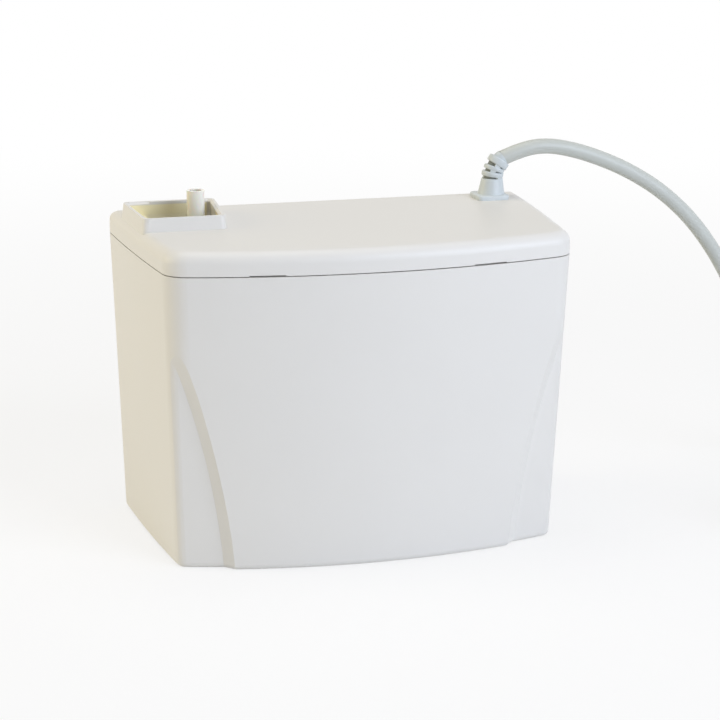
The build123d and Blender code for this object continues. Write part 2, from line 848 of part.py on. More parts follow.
with BuildPart() as thermal_cutout:
    with BuildSketch(Plane.XY.offset(stack_mid + coil_d / 2)):
        with Locations((motor_x, yoke_y)):
            RectangleRounded(cutout_size[0], cutout_size[1], cutout_corner_r)
    extrude(amount=cutout_size[2])
    fillet(thermal_cutout.edges().group_by(Axis.Z)[-1], cutout_corner_r / 2)
save(thermal_cutout.part, "thermal_cutout")

with BuildPart() as upper_bracket:
    strip_low = stack_high + upper_bracket_rise
    with BuildSketch(Plane.XY.offset(strip_low)):
        with Locations((motor_x, motor_y)):
            RectangleRounded(stack_width, bracket_width, bracket_corner_r)
    extrude(amount=bracket_thickness)
    with BuildSketch(Plane.XY.offset(stack_high)):
        with Locations(*motor_screws_at):
            RectangleRounded(bracket_leg, bracket_width, bracket_corner_r / 2)
    extrude(amount=upper_bracket_rise)
    with BuildSketch(Plane.XY.offset(strip_low + bracket_thickness)):
        with Locations((motor_x, motor_y)):
            Circle(bush_d / 2 + bush_cup_wall)
    extrude(amount=-bush_length)
    with Locations((motor_x, motor_y, strip_low + bracket_thickness)):
        Hole(bush_d / 2)
    with Locations(*[(x, y, strip_low + bracket_thickness) for x, y in motor_screws_at]):
        Hole(motor_screw_d / 2 + screw_clearance)
save(upper_bracket.part, "upper_bracket")

plate_high = stack_low - lower_bracket_drop
mounts_at = [
    (motor_x + sx * mount_spot[0], motor_y + sy * mount_spot[1])
    for sx in (-1, 1)
    for sy in (-1, 1)
]
with BuildPart() as lower_bracket:
    with BuildSketch(Plane.XY.offset(plate_high)):
        with Locations((motor_x, motor_y)):
            RectangleRounded(stack_width, lower_plate_depth, 2 * bracket_corner_r)
    extrude(amount=-bracket_thickness)
    with BuildSketch(Plane.XY.offset(plate_high)):
        with Locations(*motor_screws_at):
            RectangleRounded(bracket_leg, bracket_width, bracket_corner_r / 2)
    extrude(amount=lower_bracket_drop)
    with BuildSketch(Plane.XY.offset(plate_high - bracket_thickness)):
        with Locations((motor_x, motor_y)):
            Circle(bush_d / 2 + bush_cup_wall)
    extrude(amount=bush_length)
    with Locations((motor_x, motor_y, plate_high + bush_length)):
        Hole(bush_d / 2)
    with Locations(*[(x, y, stack_low) for x, y in motor_screws_at]):
        Hole(motor_screw_d / 2 + screw_clearance)
save(lower_bracket.part, "lower_bracket")

bush_levels = {
    "upper_bush": strip_low + bracket_thickness - bush_length,
    "lower_bush": plate_high - bracket_thickness,
}
for bush_name, level in bush_levels.items():
    with BuildPart() as bush:
        with BuildSketch(Plane.XY.offset(level)):
            with Locations((motor_x, motor_y)):
                Circle(bush_d / 2)
                Circle(shaft_d / 2 + bush_clearance, mode=Mode.SUBTRACT)
        extrude(amount=bush_length)
    save(bush.part, bush_name)

screw_reach = strip_low + 2 * bracket_thickness - plate_high + nut_height + nut_overrun
save(
    pan_screws(
        motor_screws_at,
        strip_low + bracket_thickness,
        motor_screw_d,
        screw_reach,
        motor_head_d,
        motor_head_height,
    ),
    "motor_screws",
)

with BuildPart() as motor_nuts:
    with BuildSketch(Plane.XY.offset(plate_high - bracket_thickness)):
        with Locations(*motor_screws_at):
            RegularPolygon(nut_r, 6)
            Circle(motor_screw_d / 2, mode=Mode.SUBTRACT)
    extrude(amount=-nut_height)
save(motor_nuts.part, "motor_nuts")

with BuildPart() as rubber_mounts:
    mount_height = plate_high - bracket_thickness - deck_top
    with BuildSketch(Plane.XY.offset(deck_top)):
        with Locations(*mounts_at):
            Circle(rubber_mount_d / 2)
    extrude(amount=mount_height)
    with BuildSketch(Plane.XY.offset(deck_top + (mount_height - mount_waist) / 2)):
        with Locations(*mounts_at):
            Circle(rubber_mount_d / 2)
            Circle(rubber_mount_d / 2 - mount_waist_depth, mode=Mode.SUBTRACT)
    extrude(amount=mount_waist, mode=Mode.SUBTRACT)
save(rubber_mounts.part, "rubber_mounts")

rotor_low = stack_low - rotor_overhang
rotor_high = stack_high + rotor_overhang
with BuildPart() as rotor_core:
    with BuildSketch(Plane.XY.offset(rotor_low)):
        with Locations((motor_x, motor_y)):
            Circle(rotor_d / 2)
    extrude(amount=rotor_high - rotor_low)
    for level, rise in ((rotor_low, -end_ring_height), (rotor_high, end_ring_height)):
        with BuildSketch(Plane.XY.offset(level)):
            with Locations((motor_x, motor_y)):
                Circle(end_ring_d / 2)
        extrude(amount=rise)
    with Locations((motor_x, motor_y, rotor_high + end_ring_height)):
        Hole(shaft_d / 2)
save(rotor_core.part, "rotor_core")

with BuildPart() as cooling_fan:
    with BuildSketch(Plane.XY.offset(fan_low)):
        with Locations((motor_x, motor_y)):
            Circle(fan_r + fan_disc_over)
    extrude(amount=blade_thickness)
    with BuildSketch(Plane.XY.offset(fan_low)):
        with Locations((motor_x, motor_y)):
            Circle(fan_hub_d / 2)
            with PolarLocations((fan_r + fan_hub_d / 2 - blade_root) / 2, fan_blades):
                Rectangle(fan_r - fan_hub_d / 2 + blade_root, blade_thickness)
    extrude(amount=fan_height)
    with Locations((motor_x, motor_y, fan_low + fan_height)):
        Hole(shaft_d / 2)
save(cooling_fan.part, "cooling_fan")

# ================================================================ discharge line
with BuildPart() as check_valve_body:
    with BuildSketch(Plane.XY.offset(valve_low)):
        with Locations((pipe_x, pipe_y)):
            Circle(valve_d / 2)
    extrude(amount=valve_chamber_top - valve_low)
    with BuildSketch(Plane.YZ.offset(pipe_x)):
        with Locations((pipe_y, outlet_z)):
            Circle(outlet_d / 2)
    extrude(amount=valve_d / 2 + valve_inlet_length)
    with BuildSketch(Plane.XY.offset(valve_seat_z)):
        with Locations((pipe_x, pipe_y)):
            Circle(valve_chamber_d / 2)
    extrude(amount=valve_chamber_top - valve_seat_z, mode=Mode.SUBTRACT)
    with BuildSketch(Plane.XY.offset(valve_low + valve_floor)):
        with Locations((pipe_x, pipe_y)):
            Circle(valve_seat_d / 2)
    extrude(amount=valve_seat_z - valve_low - valve_floor, mode=Mode.SUBTRACT)
    with BuildSketch(Plane.YZ.offset(pipe_x)):
        with Locations((pipe_y, outlet_z)):
            Circle(outlet_bore / 2)
    extrude(amount=valve_d / 2 + valve_inlet_length, mode=Mode.SUBTRACT)
save(check_valve_body.part, "check_valve_body")

ball_seat_rise = sqrt((ball_d / 2) ** 2 - (valve_seat_d / 2) ** 2)
ball_z = valve_seat_z + ball_seat_rise + ball_gap
with BuildPart() as check_ball:
    with Locations((pipe_x, pipe_y, ball_z)):
        Sphere(ball_d / 2)
save(check_ball.part, "check_ball")

with BuildPart() as check_valve_cap:
    with BuildSketch(Plane.XY.offset(valve_chamber_top)):
        with Locations((pipe_x, pipe_y)):
            RegularPolygon(valve_d / 2 + cap_over, 6)
    extrude(amount=cap_thickness)
    with BuildSketch(Plane.XY.offset(valve_chamber_top + cap_thickness)):
        with Locations((pipe_x, pipe_y)):
            Circle(pipe_d / 2 + cap_socket_wall)
    extrude(amount=cap_socket_height)
    with Locations((pipe_x, pipe_y, valve_chamber_top + cap_thickness + cap_socket_height)):
        Hole(pipe_bore / 2)
    with BuildSketch(Plane.XY.offset(valve_chamber_top + cap_thickness)):
        with Locations((pipe_x, pipe_y)):
            Circle(pipe_d / 2)
    extrude(amount=cap_socket_height, mode=Mode.SUBTRACT)
    with BuildSketch(Plane.XY.offset(valve_chamber_top)):
        with Locations((pipe_x, pipe_y)):
            Rectangle(valve_chamber_d - 2 * cap_rib_clearance, cap_rib)
            Rectangle(cap_rib, valve_chamber_d - 2 * cap_rib_clearance)
    extrude(amount=cap_thickness / 2, mode=Mode.SUBTRACT)
save(check_valve_cap.part, "check_valve_cap")

pipe_low = valve_chamber_top + cap_thickness
with BuildPart() as discharge_pipe:
    with BuildSketch(Plane.XY.offset(pipe_low)):
        with Locations((pipe_x, pipe_y)):
            Circle(pipe_d / 2)
    extrude(amount=pipe_top - spigot_length - pipe_low)
    with BuildSketch(Plane.XY.offset(pipe_top)):
        with Locations((pipe_x, pipe_y)):
            Circle(spigot_d / 2)
    extrude(amount=-spigot_length)
    with BuildSketch(Plane.XY.offset(pipe_low)):
        with Locations((pipe_x, pipe_y)):
            Circle(pipe_bore / 2)
    extrude(amount=pipe_top - pipe_low, mode=Mode.SUBTRACT)
save(discharge_pipe.part, "discharge_pipe")

hose_start_x = motor_x - outlet_length + hose_grip
hose_end_x = pipe_x + valve_d / 2 + valve_inlet_length - hose_grip
hose_y = motor_y + outlet_offset
hose_route = [
    (hose_start_x, hose_y, outlet_z),
    (hose_start_x - hose_grip - hose_lead, hose_y, outlet_z),
    (hose_end_x + hose_grip + hose_lead, pipe_y, outlet_z),
    (hose_end_x, pipe_y, outlet_z),
]
hose_outer, hose_length, hose_radii = tube_along(hose_route, hose_d)
hose_inner, _, _ = tube_along(hose_route, outlet_d)
with BuildPart() as transfer_hose:
    add(hose_outer)
    add(hose_inner, mode=Mode.SUBTRACT)
save(transfer_hose.part, "transfer_hose")

with BuildPart() as hose_clips:
    for x, y in ((hose_start_x - clip_inset, hose_y), (hose_end_x + clip_inset, pipe_y)):
        with BuildSketch(Plane.YZ.offset(x)):
            with Locations((y, outlet_z)):
                Circle(hose_d / 2 + clip_thickness)
            with Locations((y, outlet_z + (hose_d + clip_ear[1]) / 2)):
                Rectangle(*clip_ear)
            with Locations((y, outlet_z)):
                Circle(hose_d / 2, mode=Mode.SUBTRACT)
        extrude(amount=clip_width / 2, both=True)
save(hose_clips.part, "hose_clips")

# ================================================================ float and switch
# the lever hangs a little below level at rest, its underside just clear of the domed stem
underside = lever_eye_d / 2
stem_dome_z = switch_pivot_z - (
    underside + stem_d / 2 + lever_gap + lever_arm * sin(lever_rest)
) / cos(lever_rest)
float_high = float_low + float_height
with BuildPart() as float_body:
    with BuildSketch(Plane.XY.offset(float_low)):
        with Locations((float_x, float_y)):
            Circle(float_d / 2)
    extrude(amount=float_height)
    fillet(float_body.edges(), float_edge_r)
    with Locations((float_x, float_y, float_high)):
        Hole(stem_d / 2)
save(float_body.part, "float_body")

with BuildPart() as float_stem:
    with BuildSketch(Plane.XY.offset(float_low)):
        with Locations((float_x, float_y)):
            Circle(stem_d / 2)
    extrude(amount=stem_dome_z - float_low)
    with Locations((float_x, float_y, stem_dome_z)):
        Sphere(stem_d / 2)
save(float_stem.part, "float_stem")

guide_top = deck_top + guide_height
with BuildPart() as float_guide:
    with BuildSketch(Plane.XY.offset(deck_bottom)):
        with Locations((float_x, float_y)):
            Circle(guide_d / 2)
    extrude(amount=guide_top - deck_bottom)
    with BuildSketch(Plane.XY.offset(deck_top)):
        with Locations((float_x, float_y)):
            Circle(guide_d / 2 + guide_flange)
    extrude(amount=guide_flange_thickness)
    with Locations((float_x, float_y, guide_top)):
        Hole(stem_d / 2 + guide_clearance)
save(float_guide.part, "float_guide")

with BuildPart() as stem_clip:
    with BuildSketch(Plane.XY.offset(guide_top + clip_gap)):
        with Locations((float_x, float_y)):
            Circle(clip_d / 2)
            Circle(stem_d / 2, mode=Mode.SUBTRACT)
        with Locations((float_x + clip_d / 2, float_y)):
            Rectangle(clip_d / 2, clip_slot, mode=Mode.SUBTRACT)
    extrude(amount=clip_sheet)
save(stem_clip.part, "stem_clip")

switch_y = switch_pivot_y + switch_overhang - switch_length / 2
switch_high = switch_low + switch_height
button_y = switch_pivot_y - button_arm
switch_screws_at = [(switch_y + along, switch_low + up) for along, up in switch_screw_spots]
with BuildPart() as switch_body:
    with BuildSketch(Plane.XY.offset(switch_low)):
        with Locations((float_x, switch_y)):
            RectangleRounded(switch_thickness, switch_length, 1.0)
    extrude(amount=switch_height)
    for side in (-1, 1):
        ear_x = float_x + side * (lever_width / 2 + ear_gap + ear_thickness / 2)
        with BuildSketch(Plane.XY.offset(switch_low)):
            with Locations((ear_x, switch_pivot_y)):
                Rectangle(ear_thickness, lever_eye_d + 2 * lever_gap)
        extrude(amount=-(switch_low - switch_pivot_z + underside + lever_gap))
    with BuildSketch(Plane.YZ.offset(float_x)):
        with Locations((switch_pivot_y, switch_pivot_z)):
            Circle(lever_pin_d / 2)
    extrude(amount=lever_width / 2 + ear_gap + ear_thickness / 2, both=True)
    with BuildSketch(Plane.XY.offset(switch_low)):
        with Locations((float_x, button_y)):
            Circle(button_d / 2 + button_clearance)
    extrude(amount=button_hole_depth, mode=Mode.SUBTRACT)
    for y, z in switch_screws_at:
        with BuildSketch(Plane.YZ.offset(float_x - switch_thickness / 2)):
            with Locations((y, z)):
                Circle(switch_screw_d / 2 + pin_clearance)
        extrude(amount=switch_thickness, mode=Mode.SUBTRACT)
    for offset_y in (-blade_pitch, 0.0, blade_pitch):
        with BuildSketch(Plane.XY.offset(switch_high)):
            with Locations((float_x, switch_y + offset_y)):
                Rectangle(blade_size[0], blade_size[1])
        extrude(amount=blade_size[2])
save(switch_body.part, "switch_body")

lever_reach = lever_arm + lever_end
lever_plane = Plane(
    origin=(float_x, switch_pivot_y, switch_pivot_z),
    x_dir=(0, -cos(lever_rest), -sin(lever_rest)),
    z_dir=(1, 0, 0),
)
with BuildPart() as switch_lever:
    with BuildSketch(lever_plane):
        Circle(underside)
        with Locations((lever_reach / 2, underside - lever_thickness / 2)):
            Rectangle(lever_reach, lever_thickness)
        Circle(lever_pin_d / 2 + pin_clearance, mode=Mode.SUBTRACT)
    extrude(amount=lever_width / 2, both=True)
save(switch_lever.part, "switch_lever")

lever_top = underside - lever_thickness
button_dome_z = switch_pivot_z + (
    button_d / 2 + lever_gap - lever_top - button_arm * sin(lever_rest)
) / cos(lever_rest)
with BuildPart() as switch_button:
    with BuildSketch(Plane.XY.offset(button_dome_z)):
        with Locations((float_x, button_y)):
            Circle(button_d / 2)
    extrude(amount=button_height - button_d / 2)
    with Locations((float_x, button_y, button_dome_z)):
        Sphere(button_d / 2)
save(switch_button.part, "switch_button")

plate_x = float_x + switch_thickness / 2
bracket_screws_at = [(plate_x + bracket_screw_x, switch_y + along) for along in bracket_screw_ys]
with BuildPart() as switch_bracket:
    with BuildSketch(Plane.XY.offset(deck_top)):
        with Locations((plate_x + bracket_plate / 2, switch_y)):
            Rectangle(bracket_plate, switch_length)
    extrude(amount=switch_high - deck_top)
    with BuildSketch(Plane.XY.offset(deck_top)):
        with Locations((plate_x + foot_length / 2, switch_y)):
            Rectangle(foot_length, switch_length)
    extrude(amount=bracket_plate)
    for y, z in switch_screws_at:
        with BuildSketch(Plane.YZ.offset(plate_x)):
            with Locations((y, z)):
                Circle(switch_screw_d / 2)
        extrude(amount=bracket_plate, mode=Mode.SUBTRACT)
    with Locations(*[(x, y, deck_top + bracket_plate) for x, y in bracket_screws_at]):
        Hole(small_screw_d / 2)
save(switch_bracket.part, "switch_bracket")

save(
    pan_screws(
        bracket_screws_at,
        deck_top + bracket_plate,
        small_screw_d,
        bracket_plate,
        small_head_d,
        small_head_height,
    ),
    "bracket_screws",
)

with BuildPart() as switch_screws:
    for y, z in switch_screws_at:
        with BuildSketch(Plane.YZ.offset(float_x - switch_thickness / 2)):
            with Locations((y, z)):
                Circle(switch_screw_d)
        extrude(amount=-switch_head_height)
        with BuildSketch(Plane.YZ.offset(float_x - switch_thickness / 2)):
            with Locations((y, z)):
                Circle(switch_screw_d / 2)
        extrude(amount=switch_thickness + bracket_plate)
        with BuildSketch(Plane.YZ.offset(float_x - switch_thickness / 2 - switch_head_height)):
            with Locations((y, z)):
                Rectangle(switch_screw_d / 4, switch_screw_d * 1.6)
        extrude(amount=switch_head_height / 2, mode=Mode.SUBTRACT)
save(switch_screws.part, "switch_screws")

# ================================================================ electrics
way_pitch = block_length / block_ways
ways_at = [
    (block_x + (way - (block_ways - 1) / 2) * way_pitch, block_y) for way in range(block_ways)
]
terminal_y = block_depth / 4
with BuildPart() as terminal_block:
    with BuildSketch(Plane.XY.offset(deck_top)):
        with Locations((block_x, block_y)):
            RectangleRounded(block_length, block_depth, clamp_corner_r / 2)
    extrude(amount=block_height)
    for x, y in ways_at:
        for side in (-1, 1):
            with BuildSketch(Plane.XY.offset(deck_top + block_height)):
                with Locations((x, y + side * terminal_y)):
                    Circle(terminal_hole_r)
            extrude(amount=-terminal_hole_depth, mode=Mode.SUBTRACT)
            with BuildSketch(Plane.XZ.offset(-(y + side * block_depth / 2))):
                with Locations((x, deck_top + way_height)):
                    Circle(way_hole_r)
            extrude(amount=side * way_hole_depth, mode=Mode.SUBTRACT)
save(terminal_block.part, "terminal_block")

save(
    pan_screws(
        [(x, y + side * terminal_y) for x, y in ways_at for side in (-1, 1)],
        deck_top + block_height - terminal_seat_drop,
        terminal_screw_d,
        terminal_screw_d,
        terminal_head_d,
        terminal_head_height,
    ),
    "terminal_screws",
)

with BuildPart() as cord_clamp:
    with BuildSketch(Plane.XY.offset(deck_top)):
        with Locations((gland_x, gland_y)):
            RectangleRounded(clamp_size[0], clamp_size[1], clamp_corner_r)
    extrude(amount=clamp_size[2])
    with Locations((gland_x, gland_y, deck_top + clamp_size[2])):
        Hole(cord_d / 2, depth=clamp_size[2] - clamp_floor)
    with BuildSketch(Plane.YZ.offset(gland_x)):
        with Locations((gland_y, deck_top + way_height)):
            Rectangle(*clamp_port)
    extrude(amount=-clamp_size[0], mode=Mode.SUBTRACT)
save(cord_clamp.part, "cord_clamp")

tail_low = deck_top + tail_start
tail_top = deck_top + clamp_size[2] + tail_rise
with BuildPart() as cord_tail:
    with BuildSketch(Plane.XY.offset(tail_low)):
        with Locations((gland_x, gland_y)):
            Circle(cord_d / 2)
    extrude(amount=tail_top - tail_low)
save(cord_tail.part, "cord_tail")

with BuildPart() as mains_leads:
    for number, (x, y) in enumerate(ways_at):
        bow = (number - 1) * lead_pitch
        lead_z = deck_top + way_height
        route = [
            (gland_x - lead_start, gland_y + bow, lead_z + lead_slope),
            (gland_x - clamp_size[0] / 2 - lead_turn, gland_y + bow, lead_z),
            (x, gland_y - bow, lead_z),
            (x, block_y + block_depth / 2 - lead_grip, lead_z),
        ]
        lead, _, _ = tube_along(route, lead_d)
        add(lead)
save(mains_leads.part, "mains_leads")

gland_low = lid_under - gland_nut_height
with BuildPart() as cord_drop:
    with BuildSketch(Plane.XY.offset(tail_top + drop_gap)):
        with Locations((gland_x, gland_y)):
            Circle(cord_d / 2)
    extrude(amount=gland_low - tail_top - drop_gap)
save(cord_drop.part, "cord_drop")

# ================================================================ cord gland

def on_bend(angle):
    """Plane across the bent part of the gland at an angle of its bend."""
    a = radians(angle)
    centre = (gland_x + barrel_lean + bend_r * (1 - cos(a)), gland_y, barrel_top + bend_r * sin(a))
    return Plane(origin=centre, x_dir=(0, 1, 0), z_dir=(sin(a), 0, cos(a)))


with BuildPart() as cord_gland:
    with BuildSketch(Plane.XY.offset(lid_height)):
        with Locations((gland_x, gland_y)):
            RectangleRounded(gland_flange, gland_flange, gland_flange_corner_r)
    extrude(amount=gland_flange_height)
    chamfer(cord_gland.edges().group_by(Axis.Z)[-1], gland_flange_bevel)
    with BuildSketch(Plane.XY.offset(gland_low)):
        with Locations((gland_x, gland_y)):
            Circle(gland_neck_r)
    extrude(amount=lid_height - gland_low)
    with BuildSketch(Plane.XY.offset(gland_low)):
        with Locations((gland_x, gland_y)):
            Circle(gland_nut_r)
    extrude(amount=lid_under - gland_low)
    with BuildSketch(Plane.XY.offset(lid_height + gland_flange_height)) as barrel_foot:
        with Locations((gland_x, gland_y)):
            Circle(barrel_foot_r)
    with BuildSketch(Plane.XY.offset(barrel_top)) as barrel_head:
        with Locations((gland_x + barrel_lean, gland_y)):
            Circle(barrel_head_r)
    loft([barrel_foot.sketch, barrel_head.sketch])
    with BuildLine() as bend:
        ThreePointArc(
            on_bend(0).origin,
            on_bend(bend_turn / 2).origin,
            on_bend(bend_turn).origin,
        )
    with BuildSketch(on_bend(0)):
        Circle(gland_core_r)
    sweep(path=bend.wire())
    for angle, thickness, radius in gland_rings:
        with BuildSketch(on_bend(angle)):
            Circle(radius)
        extrude(amount=thickness / 2, both=True)
save(cord_gland.part, "cord_gland")

# ================================================================ power cord and plug
# route by hand: out of the gland, over in one easy arch, down and along to the coil;
# the arch lifts with the lid
arch_route = [
    (78.2, 37.0, 147.9),
    (87.4, 37.0, 151.6),
    (98.2, 37.0, 152.7),
    (109.5, 37.1, 150.6),
    (122.5, 37.4, 146.3),
    (137.5, 38.0, 139.6),
    (154.0, 38.9, 129.3),
    (170.5, 40.2, 114.2),
    (186.0, 41.7, 92.8),
]
drop_route = [
    (198.5, 43.2, 67.5),
    (206.5, 44.4, 44.0),
    (212.0, 45.2, 29.5),
    (219.0, 45.6, 19.9),
    (228.2, 45.6, 12.5),
    (238.8, 45.4, 7.5),
    (250.4, 45.2, 4.5),
]
split_gap = 0.3
split_from, split_to = Vector(*arch_route[-1]), Vector(*drop_route[0])
split_way = (split_to - split_from).normalized()
split_mid = (split_from + split_to) * 0.5
upper_end = tuple(split_mid - split_way * (split_gap / 2))
lower_start = tuple(split_mid + split_way * (split_gap / 2))
plug_route = [
    (302.0, -10.0, 8.6),
    (300.8, -22.5, 8.6),
    (297.2, -34.5, 9.4),
    (290.5, -45.5, 11.0),
    (281.5, -54.5, 13.2),
    (270.5, -61.0, 15.6),
    (258.5, -64.8, 17.6),
    (246.0, -66.0, 18.6),
]
cord_runs = {
    "power_cord_arch": arch_route + [upper_end],
    "power_cord_drop": [lower_start] + drop_route,
    "power_cord_plug_end": plug_route,
}
cord_total = 0.0
for cord_name, route in cord_runs.items():
    rod, length, radii = tube_along(route, cord_d)
    save(rod, cord_name)
    cord_total += length
    expected = length * pi * cord_d**2 / 4
    print(cord_name, "length", round(length, 1), "radii", [round(r, 1) for r in radii])
    print(cord_name, "volume over section times length", round(rod.volume / expected, 4))

with BuildPart() as power_cord_coil:
    with BuildSketch(Plane.XY.offset(coil_low)):
        with Locations((coil_x, coil_y)):
            Circle(coil_mid_r + coil_section / 2)
            Circle(coil_mid_r - coil_section / 2, mode=Mode.SUBTRACT)
    extrude(amount=coil_stack)
    fillet(power_cord_coil.edges(), cord_d * 0.4)
save(power_cord_coil.part, "power_cord_coil")

plug_y, plug_z = plug_axis
plug_plane = Plane(origin=(plug_face_x, plug_y, plug_z), x_dir=(0, 1, 0), z_dir=(1, 0, 0))
waist = plug_rim + plug_waist_at * (plug_length - plug_rim)
with BuildPart() as plug_body:
    with BuildSketch(plug_plane):
        Circle(plug_d / 2)
    extrude(amount=plug_rim)
    with BuildSketch(plug_plane.offset(plug_rim)):
        Circle(plug_d / 2 - plug_step)
    with BuildSketch(plug_plane.offset(waist)):
        Circle(plug_waist_r)
    loft()
    with BuildSketch(plug_plane.offset(waist)):
        Circle(plug_waist_r)
    with BuildSketch(plug_plane.offset(plug_length)):
        Circle(plug_neck_r)
    loft()
    with BuildSketch(plug_plane):
        with Locations((0, plug_d / 2), (0, -plug_d / 2)):
            Rectangle(*earth_slot)
    extrude(amount=plug_rim, mode=Mode.SUBTRACT)
    with BuildSketch(plug_plane):
        with Locations((pin_spacing / 2, 0), (-pin_spacing / 2, 0)):
            Circle(pin_d / 2)
        with Locations((0, pin_spacing / 4)):
            Circle(earth_hole_r)
    extrude(amount=pin_seat, mode=Mode.SUBTRACT)
save(plug_body.part, "plug_body")

with BuildPart() as plug_contacts:
    for side in (-1, 1):
        with BuildSketch(plug_plane.offset(contact_inset / 2)):
            with Locations((0, side * (plug_d / 2 - contact_inset))):
                Rectangle(*contact_size)
        extrude(amount=plug_rim - contact_inset)
save(plug_contacts.part, "plug_contacts")

with BuildPart() as plug_pins:
    with BuildSketch(plug_plane.offset(-pin_length)):
        with Locations((pin_spacing / 2, 0), (-pin_spacing / 2, 0)):
            Circle(pin_d / 2)
    extrude(amount=pin_length + pin_seat)
    chamfer(plug_pins.edges().group_by(Axis.X)[0], pin_chamfer)
save(plug_pins.part, "plug_pins")

with BuildPart() as plug_boot:
    with BuildSketch(plug_plane.offset(plug_length)):
        Circle(boot_root_r)
    with BuildSketch(plug_plane.offset(plug_length + boot_length)):
        Circle(cord_d / 2 + boot_tip_over)
    loft()
    for ring in range(3):
        groove_at = plug_length + boot_groove_first + ring * boot_groove_pitch
        with BuildSketch(plug_plane.offset(groove_at)):
            Circle(plug_grip_d / 2)
            Circle(cord_d / 2 + boot_groove_over, mode=Mode.SUBTRACT)
        extrude(amount=boot_groove_width, mode=Mode.SUBTRACT)
save(plug_boot.part, "plug_boot")
coil_turns = (coil_mid_r - cord_d, coil_mid_r, coil_mid_r + cord_d)
coil_turns += (coil_mid_r - cord_d / 2, coil_mid_r + cord_d / 2)
coil_lead_in = 0.31  # share of a further turn over which the cord leaves the coil
coil_cord = sum(2 * pi * r for r in coil_turns)
coil_cord += coil_lead_in * 2 * pi * (coil_mid_r + coil_section / 2)
print("coil holds about", round(coil_cord), "cord in all about", round(coil_cord + cord_total))
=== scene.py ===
"""Dresses a tank-type condensate pump: mould grain, metal, wire and rubber finishes, gland and lead.

Metres, +Z up, front of the casing towards -Y, mains gland towards +X.
"""

import json
import logging
from dataclasses import dataclass, field
from enum import Enum
from math import atan2, cos, pi, radians, sin, sqrt

import bmesh
import bpy
from mathutils import Matrix, Vector

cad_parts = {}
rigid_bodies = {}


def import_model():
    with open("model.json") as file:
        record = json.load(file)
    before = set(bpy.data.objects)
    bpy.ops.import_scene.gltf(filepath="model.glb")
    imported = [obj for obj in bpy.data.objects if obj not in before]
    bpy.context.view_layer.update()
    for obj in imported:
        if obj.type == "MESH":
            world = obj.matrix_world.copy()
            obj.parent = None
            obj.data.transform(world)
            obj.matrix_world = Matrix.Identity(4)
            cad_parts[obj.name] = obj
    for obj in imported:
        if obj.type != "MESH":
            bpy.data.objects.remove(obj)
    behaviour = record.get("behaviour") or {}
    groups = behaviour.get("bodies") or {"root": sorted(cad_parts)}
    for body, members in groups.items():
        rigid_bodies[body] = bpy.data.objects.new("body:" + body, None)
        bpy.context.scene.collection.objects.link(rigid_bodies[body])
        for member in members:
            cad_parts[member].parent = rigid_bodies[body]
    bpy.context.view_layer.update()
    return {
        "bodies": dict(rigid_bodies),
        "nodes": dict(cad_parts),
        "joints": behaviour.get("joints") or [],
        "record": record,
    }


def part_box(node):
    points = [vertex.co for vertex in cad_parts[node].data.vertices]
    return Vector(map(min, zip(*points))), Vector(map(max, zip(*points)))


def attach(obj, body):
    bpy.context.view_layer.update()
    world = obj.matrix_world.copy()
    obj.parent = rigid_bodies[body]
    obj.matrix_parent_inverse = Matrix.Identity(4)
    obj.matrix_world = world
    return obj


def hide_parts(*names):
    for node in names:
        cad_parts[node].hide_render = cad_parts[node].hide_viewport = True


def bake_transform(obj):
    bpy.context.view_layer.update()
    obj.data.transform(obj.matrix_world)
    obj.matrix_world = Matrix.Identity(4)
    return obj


MM = 0.001
WAVES_PER_SCALE = 20  # bands that a wave texture draws in a unit at a scale of 1
WAVE_DISTORTION = 0.15
WAVE_DETAIL = 1.0
NOISE_DETAIL = 3.0
NOISE_ROUGHNESS = 0.6
BRUSH_STRETCH = (0.06, 1.0, 1.0)  # draws the scratches out along X
DRIFT_DETAIL = 4.0
ROUGHNESS_DRIFT = 0.07
LEAST_ROUGHNESS = 0.02
BUMP_SHARE = 0.25  # depth of the relief, as a share of its pitch
SUBSURFACE_REACH = 2 * MM
NEAR = 0.01 * MM  # closer than this counts as touching
SPLINE_ORDER = 3
STEPS_PER_POINT = 10
CAP_ANGLE = 50.0  # degrees between faces from which a tube's edge is sharp
LOG = logging.getLogger("condensate_pump")

Point = tuple[float, float, float]
Colour = tuple[float, float, float]
Socket = bpy.types.NodeSocket
Nodes = bpy.types.Nodes
Links = bpy.types.NodeLinks


def add_object(name: str, data: bpy.types.ID) -> bpy.types.Object:
    """Adds an object to the scene.

    Args:
        name: Its name.
        data: Its mesh, curve, lamp or camera.

    Returns:
        The new object.
    """
    added = bpy.data.objects.new(name, data)
    bpy.context.scene.collection.objects.link(added)
    return added


def combine(nodes: Nodes, links: Links, operation: str, first: Socket, second: Socket) -> Socket:
    """Adds a math node that combines two values.

    Args:
        nodes: Nodes of the material or world.
        links: Its links.
        operation: What the node works out.
        first: Socket with the first value.
        second: Socket with the second value.

    Returns:
        The socket that carries the result.
    """
    both = nodes.new("ShaderNodeMath")
    both.operation = operation
    links.new(first, both.inputs[0])
    links.new(second, both.inputs[1])
    return both.outputs["Value"]


class Grain(Enum):
    """The kinds of surface relief that the finishes use."""

    MOULDED = "fine spark-eroded mould texture"
    BRUSHED = "short parallel scratches"
    LAMINATED = "edges of stacked sheets"
    WOUND = "turns of wire"
    SMOOTH = "faint flow marks"


